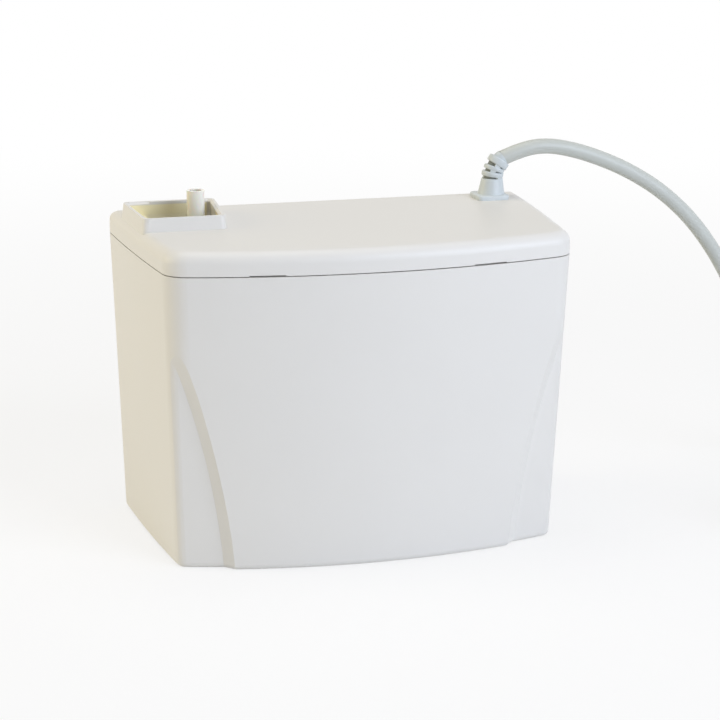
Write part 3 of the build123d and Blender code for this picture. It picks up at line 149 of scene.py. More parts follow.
@dataclass(frozen=True)
class PaintedLightBox:
    """A box-shaped region of a finish painted another colour, which stands in for light or shade there.

    Args:
        middle: Middle of the box, in metres.
        half: Half its size along each axis.
        colour: Linear colour inside it.
        ease: Distance over which the colour fades at its faces.
    """

    middle: Point
    half: Point
    colour: Colour
    ease: float = 0.4 * MM

    def share(self, nodes: Nodes, links: Links, place: Socket) -> Socket:
        """Adds the nodes that tell how far inside the box a point lies.

        Args:
            nodes: Nodes of the material.
            links: Links of the material.
            place: Socket with the Object coordinates.

        Returns:
            The socket that carries 1 inside the box and 0 outside.
        """
        away = nodes.new("ShaderNodeVectorMath")
        away.operation = "SUBTRACT"
        away.inputs[1].default_value = self.middle
        links.new(place, away.inputs[0])
        size = nodes.new("ShaderNodeVectorMath")
        size.operation = "ABSOLUTE"
        links.new(away.outputs["Vector"], size.inputs[0])
        over = nodes.new("ShaderNodeVectorMath")
        over.operation = "SUBTRACT"
        over.inputs[1].default_value = self.half
        links.new(size.outputs["Vector"], over.inputs[0])
        split = nodes.new("ShaderNodeSeparateXYZ")
        links.new(over.outputs["Vector"], split.inputs["Vector"])
        furthest = split.outputs["X"]
        for axis in ("Y", "Z"):
            furthest = combine(nodes, links, "MAXIMUM", furthest, split.outputs[axis])
        fade = nodes.new("ShaderNodeMapRange")
        fade.interpolation_type = "SMOOTHSTEP"
        fade.inputs["From Min"].default_value = self.ease
        fade.inputs["From Max"].default_value = -self.ease
        links.new(furthest, fade.inputs["Value"])
        return fade.outputs["Result"]


@dataclass(frozen=True)
class Finish:
    """One surface finish, built as a procedural material on Object coordinates.

    Args:
        name: Name of the material.
        slot: Material slot of the record that it belongs to; not used.
        colour: Linear base colour.
        grain: Kind of relief.
        roughness: Middle roughness.
        metallic: 1 for bare metal.
        mottle: How far the colour drifts up and down, as a share.
        relief: Strength of the bump.
        pitch: Distance between neighbouring marks of the relief, in metres.
        transmission: Share of light that passes through.
        subsurface: Share of light that spreads inside.
        drift_scale: Marks of the colour drift in a metre.
        painted_light: Region painted another colour, which stands in for light or shade.
    """

    name: str
    slot: str
    colour: Colour
    grain: Grain = Grain.MOULDED
    roughness: float = 0.5
    metallic: float = 0.0
    mottle: float = 0.03
    relief: float = 0.12
    pitch: float = 0.6 * MM
    transmission: float = 0.0
    subsurface: float = 0.0
    drift_scale: float = 28.0
    painted_light: PaintedLightBox | None = None

    def _relief_height(self, nodes: Nodes, links: Links, place: Socket) -> Socket:
        """Adds the texture that gives the relief.

        Args:
            nodes: Nodes of the material.
            links: Links of the material.
            place: Socket with the Object coordinates.

        Returns:
            The socket that carries the height.
        """
        if self.grain in (Grain.LAMINATED, Grain.WOUND):
            wave = nodes.new("ShaderNodeTexWave")
            wave.wave_type = "BANDS"
            wave.bands_direction = "Z" if self.grain is Grain.LAMINATED else "X"
            wave.inputs["Scale"].default_value = 1 / (self.pitch * WAVES_PER_SCALE)
            wave.inputs["Distortion"].default_value = WAVE_DISTORTION
            wave.inputs["Detail"].default_value = WAVE_DETAIL
            links.new(place, wave.inputs["Vector"])
            return wave.outputs["Fac"]
        noise = nodes.new("ShaderNodeTexNoise")
        noise.inputs["Scale"].default_value = 1 / self.pitch
        noise.inputs["Detail"].default_value = NOISE_DETAIL
        noise.inputs["Roughness"].default_value = NOISE_ROUGHNESS
        mapping = nodes.new("ShaderNodeMapping")
        if self.grain is Grain.BRUSHED:
            mapping.inputs["Scale"].default_value = BRUSH_STRETCH
        links.new(place, mapping.inputs["Vector"])
        links.new(mapping.outputs["Vector"], noise.inputs["Vector"])
        return noise.outputs["Fac"]

    def _tint(self, nodes: Nodes, links: Links, place: Socket, drift: Socket) -> Socket:
        """Adds the slowly drifting colour, and the painted light box if there is one, which stands in for
        light or shade.

        Args:
            nodes: Nodes of the material.
            links: Links of the material.
            place: Socket with the Object coordinates.
            drift: Socket with the drift, 0 to 1.

        Returns:
            The socket that carries the colour.
        """
        tint = nodes.new("ShaderNodeMix")
        tint.data_type = "RGBA"
        tint.inputs["A"].default_value = (*[part * (1 - self.mottle) for part in self.colour], 1)
        tint.inputs["B"].default_value = (*[min(1.0, part * (1 + self.mottle)) for part in self.colour], 1)
        links.new(drift, tint.inputs["Factor"])
        if self.painted_light is None:
            return tint.outputs["Result"]
        inside = nodes.new("ShaderNodeMix")
        inside.data_type = "RGBA"
        inside.inputs["B"].default_value = (*self.painted_light.colour, 1)
        links.new(self.painted_light.share(nodes, links, place), inside.inputs["Factor"])
        links.new(tint.outputs["Result"], inside.inputs["A"])
        return inside.outputs["Result"]

    def build(self) -> bpy.types.Material:
        """Builds the material.

        Returns:
            The material, ready to be put on a piece.
        """
        material = bpy.data.materials.new(self.name)
        material.use_nodes = True
        nodes, links = material.node_tree.nodes, material.node_tree.links
        shader = nodes["Principled BSDF"]
        shader.inputs["Metallic"].default_value = self.metallic
        shader.inputs["Transmission Weight"].default_value = self.transmission
        shader.inputs["Subsurface Weight"].default_value = self.subsurface
        shader.inputs["Subsurface Scale"].default_value = SUBSURFACE_REACH

        place = nodes.new("ShaderNodeTexCoord").outputs["Object"]
        drift = nodes.new("ShaderNodeTexNoise")
        drift.inputs["Scale"].default_value = self.drift_scale
        drift.inputs["Detail"].default_value = DRIFT_DETAIL
        links.new(place, drift.inputs["Vector"])
        links.new(self._tint(nodes, links, place, drift.outputs["Fac"]), shader.inputs["Base Color"])

        shine = nodes.new("ShaderNodeMapRange")
        shine.inputs["To Min"].default_value = max(LEAST_ROUGHNESS, self.roughness - ROUGHNESS_DRIFT)
        shine.inputs["To Max"].default_value = min(1.0, self.roughness + ROUGHNESS_DRIFT)
        links.new(drift.outputs["Fac"], shine.inputs["Value"])
        links.new(shine.outputs["Result"], shader.inputs["Roughness"])

        bump = nodes.new("ShaderNodeBump")
        bump.inputs["Strength"].default_value = self.relief
        bump.inputs["Distance"].default_value = self.pitch * BUMP_SHARE
        links.new(self._relief_height(nodes, links, place), bump.inputs["Height"])
        links.new(bump.outputs["Normal"], shader.inputs["Normal"])
        return material


@dataclass(frozen=True)
class Palette:
    """Every finish of the pump."""

    casing: Finish = Finish(
        "casing_shell",
        "casing_plastic",
        (0.72, 0.70, 0.655),
        roughness=0.42,
        mottle=0.012,
        # Painted warm bounce light: a yellow box of colour inside the inlet collar, standing in for light
        # bouncing inside it, not a second colour of the moulding.
        painted_light=PaintedLightBox(
            middle=(-67.65 * MM, 18.5 * MM, 122.6 * MM),
            half=(16.2 * MM, 17.8 * MM, 12.6 * MM),
            colour=(0.93, 0.855, 0.57),
        ),
    )
    moulding: Finish = Finish("off_white_moulding", "deck_plastic", (0.60, 0.58, 0.53))
    pump_black: Finish = Finish(
        "black_moulding",
        "pump_plastic",
        (0.018, 0.018, 0.02),
        roughness=0.45,
        mottle=0.15,
    )
    natural: Finish = Finish("natural_nylon", "impeller_plastic", (0.74, 0.72, 0.64), Grain.SMOOTH, 0.4)
    core: Finish = Finish(
        "lamination_stack",
        "core_steel",
        (0.16, 0.165, 0.175),
        Grain.LAMINATED,
        roughness=0.42,
        metallic=0.9,
        mottle=0.1,
        relief=0.6,
        pitch=0.5 * MM,
    )
    zinc: Finish = Finish(
        "zinc_plate",
        "zinc_steel",
        (0.56, 0.57, 0.58),
        Grain.BRUSHED,
        roughness=0.32,
        metallic=1.0,
        mottle=0.06,
        pitch=0.3 * MM,
    )
    copper: Finish = Finish(
        "bare_copper",
        "copper",
        (0.72, 0.36, 0.2),
        Grain.BRUSHED,
        roughness=0.3,
        metallic=1.0,
        mottle=0.08,
        pitch=0.3 * MM,
    )
    winding: Finish = Finish(
        "enamelled_wire",
        "winding",
        (0.42, 0.13, 0.045),
        Grain.WOUND,
        roughness=0.28,
        metallic=0.7,
        mottle=0.12,
        relief=0.9,
        pitch=0.45 * MM,
    )
    bronze: Finish = Finish(
        "sintered_bronze",
        "bronze",
        (0.45, 0.28, 0.12),
        metallic=1.0,
        mottle=0.1,
        relief=0.3,
        pitch=0.3 * MM,
    )
    brass: Finish = Finish(
        "plain_brass",
        "brass",
        (0.68, 0.48, 0.2),
        Grain.BRUSHED,
        roughness=0.28,
        metallic=1.0,
        mottle=0.05,
        pitch=0.3 * MM,
    )
    rubber: Finish = Finish(
        "black_rubber",
        "rubber",
        (0.02, 0.02, 0.02),
        roughness=0.75,
        mottle=0.2,
        relief=0.25,
    )
    tube: Finish = Finish(
        "natural_tube",
        "natural_plastic",
        (0.93, 0.90, 0.81),
        Grain.SMOOTH,
        roughness=0.3,
        transmission=0.06,
        subsurface=0.15,
    )
    foam: Finish = Finish(
        "float_foam",
        "float_foam",
        (0.82, 0.82, 0.79),
        roughness=0.8,
        relief=0.6,
        pitch=1.1 * MM,
    )
    switch: Finish = Finish(
        "switch_black",
        "switch_plastic",
        (0.02, 0.022, 0.025),
        roughness=0.35,
        mottle=0.15,
    )
    button: Finish = Finish("button_red", "button_plastic", (0.5, 0.02, 0.015), Grain.SMOOTH, 0.3)
    block: Finish = Finish("terminal_nylon", "block_plastic", (0.72, 0.71, 0.66), Grain.SMOOTH, 0.45)
    sheath: Finish = Finish(
        "lead_sheath_grey",
        "cord_sheath",
        (0.50, 0.515, 0.47),
        Grain.SMOOTH,
        roughness=0.42,
        relief=0.0,
        pitch=2 * MM,
    )
    gland: Finish = Finish(
        "gland_moulding",
        "gland_plastic",
        (0.56, 0.60, 0.60),
        roughness=0.4,
        relief=0.08,
    )
    # Painted shade: a dark finish for the core under the relief's rings, standing in for the shadow in the
    # slits between them, not a second colour of the moulding.
    shaded_sleeve: Finish = Finish("relief_sleeve_shade", "gland_plastic", (0.20, 0.215, 0.20), roughness=0.6)
    plug: Finish = Finish("plug_moulding", "plug_plastic", (0.60, 0.615, 0.59), roughness=0.4)
    live: Finish = Finish("lead_brown", "lead_sheath", (0.13, 0.05, 0.02), Grain.SMOOTH, 0.4)
    neutral: Finish = Finish("lead_blue", "lead_sheath", (0.03, 0.12, 0.42), Grain.SMOOTH, 0.4)
    earth: Finish = Finish("lead_green", "lead_sheath", (0.08, 0.34, 0.06), Grain.SMOOTH, 0.4)


class Workshop:
    """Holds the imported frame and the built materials, and finishes pieces with them.
    """

    def __init__(self, frame: dict) -> None:
        """Keeps the frame, with no material built yet."""
        self.frame = frame
        self.palette = Palette()
        self._built: dict[str, bpy.types.Material] = {}

    def material(self, finish: Finish) -> bpy.types.Material:
        """Returns the finish's material, and builds it the first time."""
        if finish.name not in self._built:
            self._built[finish.name] = finish.build()
        return self._built[finish.name]

    def coat(self, finish: Finish, *names: str) -> None:
        """Puts a finish on CAD nodes.

        Args:
            finish: The finish.
            names: The nodes.
        """
        for name in names:
            mesh = self.frame["nodes"][name].data
            mesh.materials.clear()
            mesh.materials.append(self.material(finish))
            LOG.info("%s: %s", name, finish.name)

    def piece(
        self,
        name: str,
        shape: bmesh.types.BMesh,
        finish: Finish,
        body: str,
        extra: Finish | None = None,
        smooth_angle: float = 35.0,
    ) -> bpy.types.Object:
        """Turns a bmesh into a finished piece that rides on a body.

        Args:
            name: Name of the piece.
            shape: Its shape in the row frame. It is freed.
            finish: Its finish.
            body: The CAD body that carries it.
            extra: Finish of the faces with material index 1.
            smooth_angle: Edges flatter than this, in degrees, are shaded smooth.

        Returns:
            The new object.
        """
        bmesh.ops.recalc_face_normals(shape, faces=shape.faces)
        mesh = bpy.data.meshes.new(name)
        shape.to_mesh(mesh)
        shape.free()
        mesh.materials.append(self.material(finish))
        if extra is not None:
            mesh.materials.append(self.material(extra))
        mesh.shade_smooth()
        mesh.set_sharp_from_angle(angle=radians(smooth_angle))
        piece = add_object(name, mesh)
        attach(piece, body)
        LOG.info("%s: new piece on %s", name, body)
        return piece


@dataclass
class Casing:
    """Tank, lid, deck and inlet chute."""

    shop: Workshop

    def dress(self) -> None:
        """Finishes the shell and what is screwed into it."""
        palette = self.shop.palette
        self.shop.coat(palette.casing, "tank", "lid")
        self.shop.coat(palette.moulding, "deck", "inlet_chute")
        self.shop.coat(palette.zinc, "deck_screws")


@dataclass
class Motor:
    """Shaded-pole motor with its brackets, mounts and fan."""

    shop: Workshop

    def dress(self) -> None:
        """Finishes the motor's pieces."""
        palette = self.shop.palette
        self.shop.coat(palette.core, "stator_core", "rotor_core")
        self.shop.coat(palette.copper, "shading_rings")
        self.shop.coat(palette.natural, "coil_bobbin")
        self.shop.coat(palette.winding, "coil_winding")
        self.shop.coat(palette.switch, "thermal_cutout")
        self.shop.coat(palette.zinc, "upper_bracket", "lower_bracket")
        self.shop.coat(palette.zinc, "motor_screws", "motor_nuts", "motor_shaft")
        self.shop.coat(palette.bronze, "upper_bush", "lower_bush")
        self.shop.coat(palette.rubber, "rubber_mounts")
        self.shop.coat(palette.moulding, "cooling_fan")


@dataclass
class Pump:
    """Centrifugal pump and the discharge line with its check valve."""

    shop: Workshop

    def dress(self) -> None:
        """Finishes the wet pieces."""
        palette = self.shop.palette
        self.shop.coat(palette.pump_black, "pump_housing", "intake_cover")
        self.shop.coat(palette.pump_black, "check_valve_body", "check_valve_cap")
        self.shop.coat(palette.natural, "impeller")
        self.shop.coat(palette.rubber, "check_ball")
        self.shop.coat(palette.tube, "discharge_pipe", "transfer_hose")
        self.shop.coat(palette.zinc, "housing_screws", "hose_clips")


@dataclass
class FloatSwitch:
    """Float with its stem and guide, and the switch that it works."""

    shop: Workshop

    def dress(self) -> None:
        """Finishes the float and the switch."""
        palette = self.shop.palette
        self.shop.coat(palette.foam, "float_body")
        self.shop.coat(palette.natural, "float_stem")
        self.shop.coat(palette.moulding, "float_guide")
        self.shop.coat(palette.zinc, "stem_clip", "switch_lever", "switch_bracket")
        self.shop.coat(palette.zinc, "bracket_screws", "switch_screws")
        self.shop.coat(palette.switch, "switch_body")
        self.shop.coat(palette.button, "switch_button")


def read_line(curve_object: bpy.types.Object) -> list[Vector]:
    """Reads the smooth line that a curve without a bevel draws.

    Args:
        curve_object: The curve's object.

    Returns:
        Points along the line, in order.
    """
    mesh = bpy.data.meshes.new_from_object(curve_object)
    line = [vertex.co.copy() for vertex in mesh.vertices]
    bpy.data.meshes.remove(mesh)
    return line


def tube_mesh(
    name: str, points: list[Point], radius: float, rounds: int
) -> tuple[bpy.types.Mesh, list[Vector]]:
    """Makes a round tube along a smooth NURBS spline.

    Args:
        name: Name of the curve and the mesh.
        points: Control points of the spline, in metres.
        radius: Radius of the tube.
        rounds: Bevel resolution of the tube's section.

    Returns:
        The tube's mesh and the line that it follows.
    """
    curve = bpy.data.curves.new(name, "CURVE")
    curve.dimensions = "3D"
    curve.resolution_u = STEPS_PER_POINT
    spline = curve.splines.new("NURBS")
    spline.points.add(len(points) - 1)
    for spot, point in zip(spline.points, points):
        spot.co = (*point, 1.0)
    spline.order_u = SPLINE_ORDER
    spline.use_endpoint_u = True
    carrier = add_object(name, curve)
    line = read_line(carrier)
    curve.bevel_depth = radius
    curve.bevel_resolution = rounds
    curve.use_fill_caps = True
    mesh = bpy.data.meshes.new_from_object(carrier)
    bpy.data.objects.remove(carrier)
    bpy.data.curves.remove(curve)
    mesh.shade_smooth()
    mesh.set_sharp_from_angle(angle=radians(CAP_ANGLE))
    return mesh, line


@dataclass
class Electrics:
    """Terminal block, cord clamp and the wires inside the casing."""

    shop: Workshop
    lead_radius: float = 0.9 * MM
    cord_radius: float = 3.3 * MM
    way_height: float = 69.5 * MM
    ways: tuple[float, float, float] = (43.333 * MM, 50.0 * MM, 56.667 * MM)
    block_face: float = 31.0 * MM
    block_reach: float = 3.0 * MM
    lead_pitch: float = 2.3 * MM
    lead_rise: float = 0.5 * MM
    lead_bend: float = 2.0 * MM
    lead_swing: float = 1.0 * MM
    cord_steps: int = 12
    cord_waver: float = 0.02 * MM
    rounds: int = 3

    def dress(self) -> None:
        """Finishes the block, the clamp and the wires."""
        palette = self.shop.palette
        self.shop.coat(palette.block, "terminal_block")
        self.shop.coat(palette.brass, "terminal_screws")
        self.shop.coat(palette.moulding, "cord_clamp")
        self.shop.coat(palette.sheath, "cord_tail")
        self._leads()
        self._inner_cord()

    def _add_tube(self, name: str, points: list[Point], radius: float, finish: Finish) -> bpy.types.Object:
        """Adds a wire.

        Args:
            name: Name of the piece.
            points: Control points of its route.
            radius: Its radius.
            finish: Its finish.

        Returns:
            The wire, not yet on a body.
        """
        mesh, _ = tube_mesh(name, points, radius, self.rounds)
        mesh.materials.append(self.shop.material(finish))
        wire = add_object(name, mesh)
        LOG.info("%s: wire", name)
        return wire

    def _leads(self) -> None:
        """Draws the three mains leads from the clamp to the block."""
        palette = self.shop.palette
        low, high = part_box("cord_clamp")
        middle = (low + high) / 2
        finishes = (palette.earth, palette.neutral, palette.live)
        for number, (way, finish) in enumerate(zip(self.ways, finishes)):
            shift = (number - 1) * self.lead_pitch
            points = [
                (middle.x - self.lead_bend, middle.y + shift, self.way_height + self.lead_rise),
                (low.x - self.lead_bend, middle.y + shift, self.way_height),
                (way + self.lead_bend, middle.y - shift + self.lead_swing, self.way_height),
                (way, middle.y - shift - self.lead_bend, self.way_height),
                (way, self.block_face - self.block_reach, self.way_height),
            ]
            lead = self._add_tube(f"mains_lead_{number + 1}", points, self.lead_radius, finish)
            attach(lead, "casing")
            if number == 0:
                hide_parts("mains_leads")

    def _inner_cord(self) -> None:
        """Draws the cord between the clamp and the gland."""
        low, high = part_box("cord_drop")
        x, y = (low.x + high.x) / 2, (low.y + high.y) / 2
        rise = (high.z - low.z) / self.cord_steps
        steps = range(self.cord_steps + 1)
        points = [(x, y + self.cord_waver * (step % 2), low.z + rise * step) for step in steps]
        inner = self._add_tube("inner_cord", points, self.cord_radius, self.shop.palette.sheath)
        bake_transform(inner)
        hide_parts("cord_drop")


@dataclass(frozen=True)
class ReliefRing:
    """One ring of the bent strain relief.

    Args:
        angle: Where its middle lies on the bend, in degrees.
        tilt: How far it leans, in degrees.
        height: Its height, in metres.
        radius: Its radius.
    """

    angle: float
    tilt: float
    height: float
    radius: float


@dataclass
class Gland:
    """Snap-in cord gland with a flared barrel and a ringed, bent strain relief."""

    shop: Workshop
    seat: float = 131.0 * MM
    under: float = 128.8 * MM
    nut_height: float = 4.0 * MM
    nut_r: float = 6.2 * MM
    neck_r: float = 4.7 * MM
    flange: float = 14.2 * MM
    flange_shift: float = -0.7 * MM
    flange_height: float = 1.9 * MM
    flange_corner: float = 2.4 * MM
    flange_ease: float = 0.6 * MM
    foot_r: float = 5.9 * MM
    head_r: float = 4.6 * MM
    barrel_top: float = 139.6 * MM
    rim_ease: float = 0.3 * MM
    lean: float = 0.4 * MM
    bend_r: float = 10.2 * MM
    bend_turn: float = 57.0
    # Painted shade: core faces from the barrel up to this angle of the bend get the dark finish that
    # stands in for the shadow in the slits.
    painted_shade_turn: float = 42.0
    core_r: float = 3.4 * MM
    core_steps: int = 14
    nut_ease: float = 0.4 * MM
    rings: tuple[ReliefRing, ...] = (
        ReliefRing(9.5, 9.0, 2.1 * MM, 4.7 * MM),
        ReliefRing(23.5, 19.0, 1.9 * MM, 4.5 * MM),
        ReliefRing(41.5, 34.0, 3.0 * MM, 4.7 * MM),
    )
    ring_ease: float = 0.5 * MM
    webs: tuple[tuple[float, float], ...] = (
        (2.5, -60.0),
        (2.5, 120.0),
        (17.0, -110.0),
        (17.0, 70.0),
        (32.0, -95.0),
        (32.0, 85.0),
    )
    web_size: Point = (1.1 * MM, 2.4 * MM, 2.4 * MM)
    web_sink: float = 1 / 3  # how far a web's middle stands off the sleeve, as a share of its depth
    flare_straight: float = 0.85  # share of the barrel's taper that is straight
    flare_power: int = 6
    corner_segments: int = 6
    rim_segments: int = 3
    sides: int = 48
    barrel_steps: int = 14
    axis: tuple[float, float] = (0.0, 0.0)

    def _on_bend(self, angle: float, tilt: float) -> Matrix:
        """Frame at an angle of the bend, leaning by the tilt, with Z along the cord."""
        a = radians(angle)
        x = self.axis[0] + self.lean + self.bend_r * (1 - cos(a))
        z = self.barrel_top + self.bend_r * sin(a)
        return Matrix.Translation((x, self.axis[1], z)) @ Matrix.Rotation(radians(tilt), 4, "Y")

    def _drum(
        self, shape: bmesh.types.BMesh, place: Matrix, radius: float, height: float, ease: float
    ) -> None:
        """Adds a short round drum with softened rims.

        Args:
            shape: The bmesh to add to.
            place: Frame of its middle.
            radius: Its radius.
            height: Its height.
            ease: Size of the softened rims, 0 for none.
        """
        made = bmesh.ops.create_cone(
            shape,
            cap_ends=True,
            segments=self.sides,
            radius1=radius,
            radius2=radius,
            depth=height,
            matrix=place,
        )
        if ease > 0:
            drum = set(made["verts"])
            own = [edge for edge in shape.edges if set(edge.verts) <= drum]
            rims = [edge for edge in own if any(len(face.verts) > 4 for face in edge.link_faces)]
            self._soften(shape, rims, ease, self.rim_segments)

    @staticmethod
    def _soften(
        shape: bmesh.types.BMesh, edges: list[bmesh.types.BMEdge], ease: float, segments: int
    ) -> None:
        """Rounds edges of a shape.

        Args:
            shape: The shape.
            edges: The edges to round.
            ease: Size of the rounding.
            segments: Faces across it.
        """
        bmesh.ops.bevel(
            shape,
            geom=edges,
            offset=ease,
            offset_type="OFFSET",
            segments=segments,
            profile=0.5,
            affect="EDGES",
            material=-1,
            clamp_overlap=True,
        )

    def _flange(self, shape: bmesh.types.BMesh) -> None:
        """Adds the square flange with round corners."""
        middle = (self.axis[0] + self.flange_shift, self.axis[1], self.seat + self.flange_height / 2)
        size = Matrix.Diagonal((self.flange, self.flange, self.flange_height, 1.0))
        made = bmesh.ops.create_cube(shape, size=1.0, matrix=Matrix.Translation(middle) @ size)
        corners = set(made["verts"])
        own = [edge for edge in shape.edges if set(edge.verts) <= corners]
        upright = [edge for edge in own if abs((edge.verts[0].co - edge.verts[1].co).z) > MM]
        self._soften(shape, upright, self.flange_corner, self.corner_segments)
        top = self.seat + self.flange_height
        rim = [edge for edge in shape.edges if all(abs(end.co.z - top) < NEAR for end in edge.verts)]
        self._soften(shape, rim, self.flange_ease, self.rim_segments)

    def _barrel(self, shape: bmesh.types.BMesh) -> None:
        """Adds the barrel: a concave flare at its foot, spun and then leant a little."""
        foot = self.seat + self.flange_height
        height = self.barrel_top - foot
        profile = []
        for step in range(self.barrel_steps + 1):
            share = step / self.barrel_steps
            curved = (1 - share) ** self.flare_power
            flare = self.flare_straight * (1 - share) + (1 - self.flare_straight) * curved
            radius = self.head_r + (self.foot_r - self.head_r) * flare
            profile.append((radius, foot + height * share))
        profile[-1] = (self.head_r - self.rim_ease, self.barrel_top)
        profile.insert(-1, (self.head_r, self.barrel_top - self.rim_ease))
        profile.append((self.core_r, self.barrel_top))
        chain = [shape.verts.new((self.axis[0] + radius, self.axis[1], z)) for radius, z in profile]
        edges = [shape.edges.new(pair) for pair in zip(chain, chain[1:])]
        before = set(shape.verts) - set(chain)
        bmesh.ops.spin(
            shape,
            geom=chain + edges,
            cent=(*self.axis, 0.0),
            axis=(0.0, 0.0, 1.0),
            angle=2 * pi,
            steps=self.sides,
            use_merge=True,
            use_duplicate=False,
        )
        for vertex in set(shape.verts) - before:
            vertex.co.x += self.lean * (vertex.co.z - foot) / height

    def _core(self, shape: bmesh.types.BMesh) -> None:
        """Adds the core round the cord, spun through the bend, with painted shade on its faces near the
        barrel.
        """
        before = set(shape.faces)
        hinge_x = self.axis[0] + self.lean + self.bend_r
        start = self._on_bend(0.0, 0.0)
        circle = bmesh.ops.create_circle(shape, segments=self.sides, radius=self.core_r, matrix=start)
        loop = circle["verts"]
        edges = list({edge for vertex in loop for edge in vertex.link_edges})
        spun = bmesh.ops.spin(
            shape,
            geom=loop + edges,
            cent=(hinge_x, self.axis[1], self.barrel_top),
            axis=(0.0, 1.0, 0.0),
            angle=radians(self.bend_turn),
            steps=self.core_steps,
            use_duplicate=False,
        )
        end_edges = [part for part in spun["geom_last"] if isinstance(part, bmesh.types.BMEdge)]
        bmesh.ops.contextual_create(shape, geom=end_edges)
        # Painted shade: core faces from the barrel up to painted_shade_turn take the dark second finish,
        # standing in for the shadow in the slits between the rings.
        for face in set(shape.faces) - before:
            middle = face.calc_center_median()
            turn = atan2(middle.z - self.barrel_top, hinge_x - middle.x)
            if turn < radians(self.painted_shade_turn):
                face.material_index = 1

    def _webs(self, shape: bmesh.types.BMesh) -> None:
        """Adds the short webs that join neighbouring rings, turned from gap to gap."""
        for angle, turn in self.webs:
            place = self._on_bend(angle, angle) @ Matrix.Rotation(radians(turn), 4, "Z")
            place = place @ Matrix.Translation((self.core_r + self.web_size[0] * self.web_sink, 0, 0))
            bmesh.ops.create_cube(shape, size=1.0, matrix=place @ Matrix.Diagonal((*self.web_size, 1.0)))

    def build(self) -> bpy.types.Object:
        """Builds the gland.

        Returns:
            The finished piece.
        """
        low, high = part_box("cord_clamp")
        self.axis = ((low.x + high.x) / 2, (low.y + high.y) / 2)
        shape = bmesh.new()
        self._flange(shape)
        self._barrel(shape)
        self._core(shape)
        for ring in self.rings:
            place = self._on_bend(ring.angle, ring.tilt)
            self._drum(shape, place, ring.radius, ring.height, self.ring_ease)
        self._webs(shape)
        neck = self.seat - self.under + self.nut_height
        self._drum(shape, Matrix.Translation((*self.axis, self.seat - neck / 2)), self.neck_r, neck, 0)
        nut = Matrix.Translation((*self.axis, self.under - self.nut_height / 2))
        self._drum(shape, nut, self.nut_r, self.nut_height, self.nut_ease)
        palette = self.shop.palette
        # The second finish paints the shade in the slits between the rings.
        gland = self.shop.piece("cord_gland_relief", shape, palette.gland, "lid", extra=palette.shaded_sleeve)
        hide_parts("cord_gland")
        return gland


@dataclass
class PowerCord:
    """Mains lead from the gland to the coil that is put away beside the pump, and on to its plug.

    The routes, the coil's centre and its lanes are in millimetres.
    """

    shop: Workshop
    diameter: float = 6.6 * MM
    length: float = 1.58
    arch: tuple[Point, ...] = (
        (78.2, 37.0, 147.9),
        (87.4, 37.0, 151.6),
        (98.2, 37.0, 152.7),
        (109.5, 37.1, 150.6),
        (122.5, 37.4, 146.3),
        (137.5, 38.0, 139.6),
        (154.0, 38.9, 129.3),
        (170.5, 40.2, 114.2),
        (186.0, 41.7, 92.8),
        (198.5, 43.2, 67.5),
        (206.5, 44.4, 44.0),
        (212.0, 45.2, 29.5),
        (219.0, 45.6, 19.9),
        (228.2, 45.6, 12.5),
        (238.8, 45.4, 7.5),
    )
    coil_entry: Point = (250.4, 45.2, 4.5)
    coil_centre: tuple[float, float] = (262.0, 2.0)
    lanes: tuple[tuple[float, float], ...] = (
        (43.4, 3.5),
        (36.7, 3.5),
        (30.0, 3.5),
        (33.4, 9.3),
        (40.1, 9.3),
        (46.8, 9.3),
    )
    coil_start: float = 105.0
    coil_turns: float = 5.31
    points_per_turn: int = 12
    lane_change: float = 0.3
    plug_lead: tuple[Point, ...] = (
        (305.0, -20.0, 9.2),
        (299.8, -32.0, 9.6),
        (292.0, -44.0, 11.0),
        (282.0, -54.0, 13.2),
        (270.5, -61.0, 15.6),
        (258.5, -64.8, 17.6),
        (246.0, -66.0, 18.6),
    )
    arch_points: int = 9
    drop_points: int = 2
    rounds: int = 8

    def _lane(self, turn: float) -> tuple[float, float]:
        """Radius and height of the coil's cord after a number of turns."""
        index = min(int(turn), len(self.lanes) - 1)
        after = min(index + 1, len(self.lanes) - 1)
        share = max(0.0, (turn - index - (1 - self.lane_change)) / self.lane_change)
        ease = share * share * (3 - 2 * share)
        near, far = self.lanes[index], self.lanes[after]
        return near[0] + (far[0] - near[0]) * ease, near[1] + (far[1] - near[1]) * ease

    def _coil(self) -> list[Point]:
        """Points of the coil's turns, clockwise from its back."""
        points = []
        steps = int(self.coil_turns * self.points_per_turn)
        for step in range(1, steps + 1):
            turn = step / self.points_per_turn
            radius, height = self._lane(turn)
            angle = radians(self.coil_start) - 2 * pi * turn
            spread = radius / sqrt(cos(pi / self.points_per_turn))
            x = self.coil_centre[0] + spread * cos(angle)
            y = self.coil_centre[1] + spread * sin(angle)
            points.append((x, y, height))
        return points

    def build(self) -> bpy.types.Object:
        """Returns:
            The lead.
        """
        millimetres = [*self.arch, self.coil_entry, *self._coil(), *self.plug_lead]
        route = [(x * MM, y * MM, z * MM) for x, y, z in millimetres]
        mesh, line = tube_mesh("power_cord", route, self.diameter / 2, self.rounds)
        mesh.materials.append(self.shop.material(self.shop.palette.sheath))
        lead = add_object("power_cord", mesh)
        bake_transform(lead)
        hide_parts("power_cord_arch", "power_cord_drop", "power_cord_plug_end", "power_cord_coil")
        length = sum((b - a).length for a, b in zip(line, line[1:]))
        LOG.info("power_cord: %.3f m along its line", length)
        return lead


@dataclass
class Plug:
    """Round two-pin earthed plug at the end of the lead."""

    shop: Workshop

    def dress(self) -> None:
        """Finishes the plug's pieces."""
        palette = self.shop.palette
        self.shop.coat(palette.plug, "plug_body", "plug_boot")
        self.shop.coat(palette.brass, "plug_pins")
        self.shop.coat(palette.zinc, "plug_contacts")


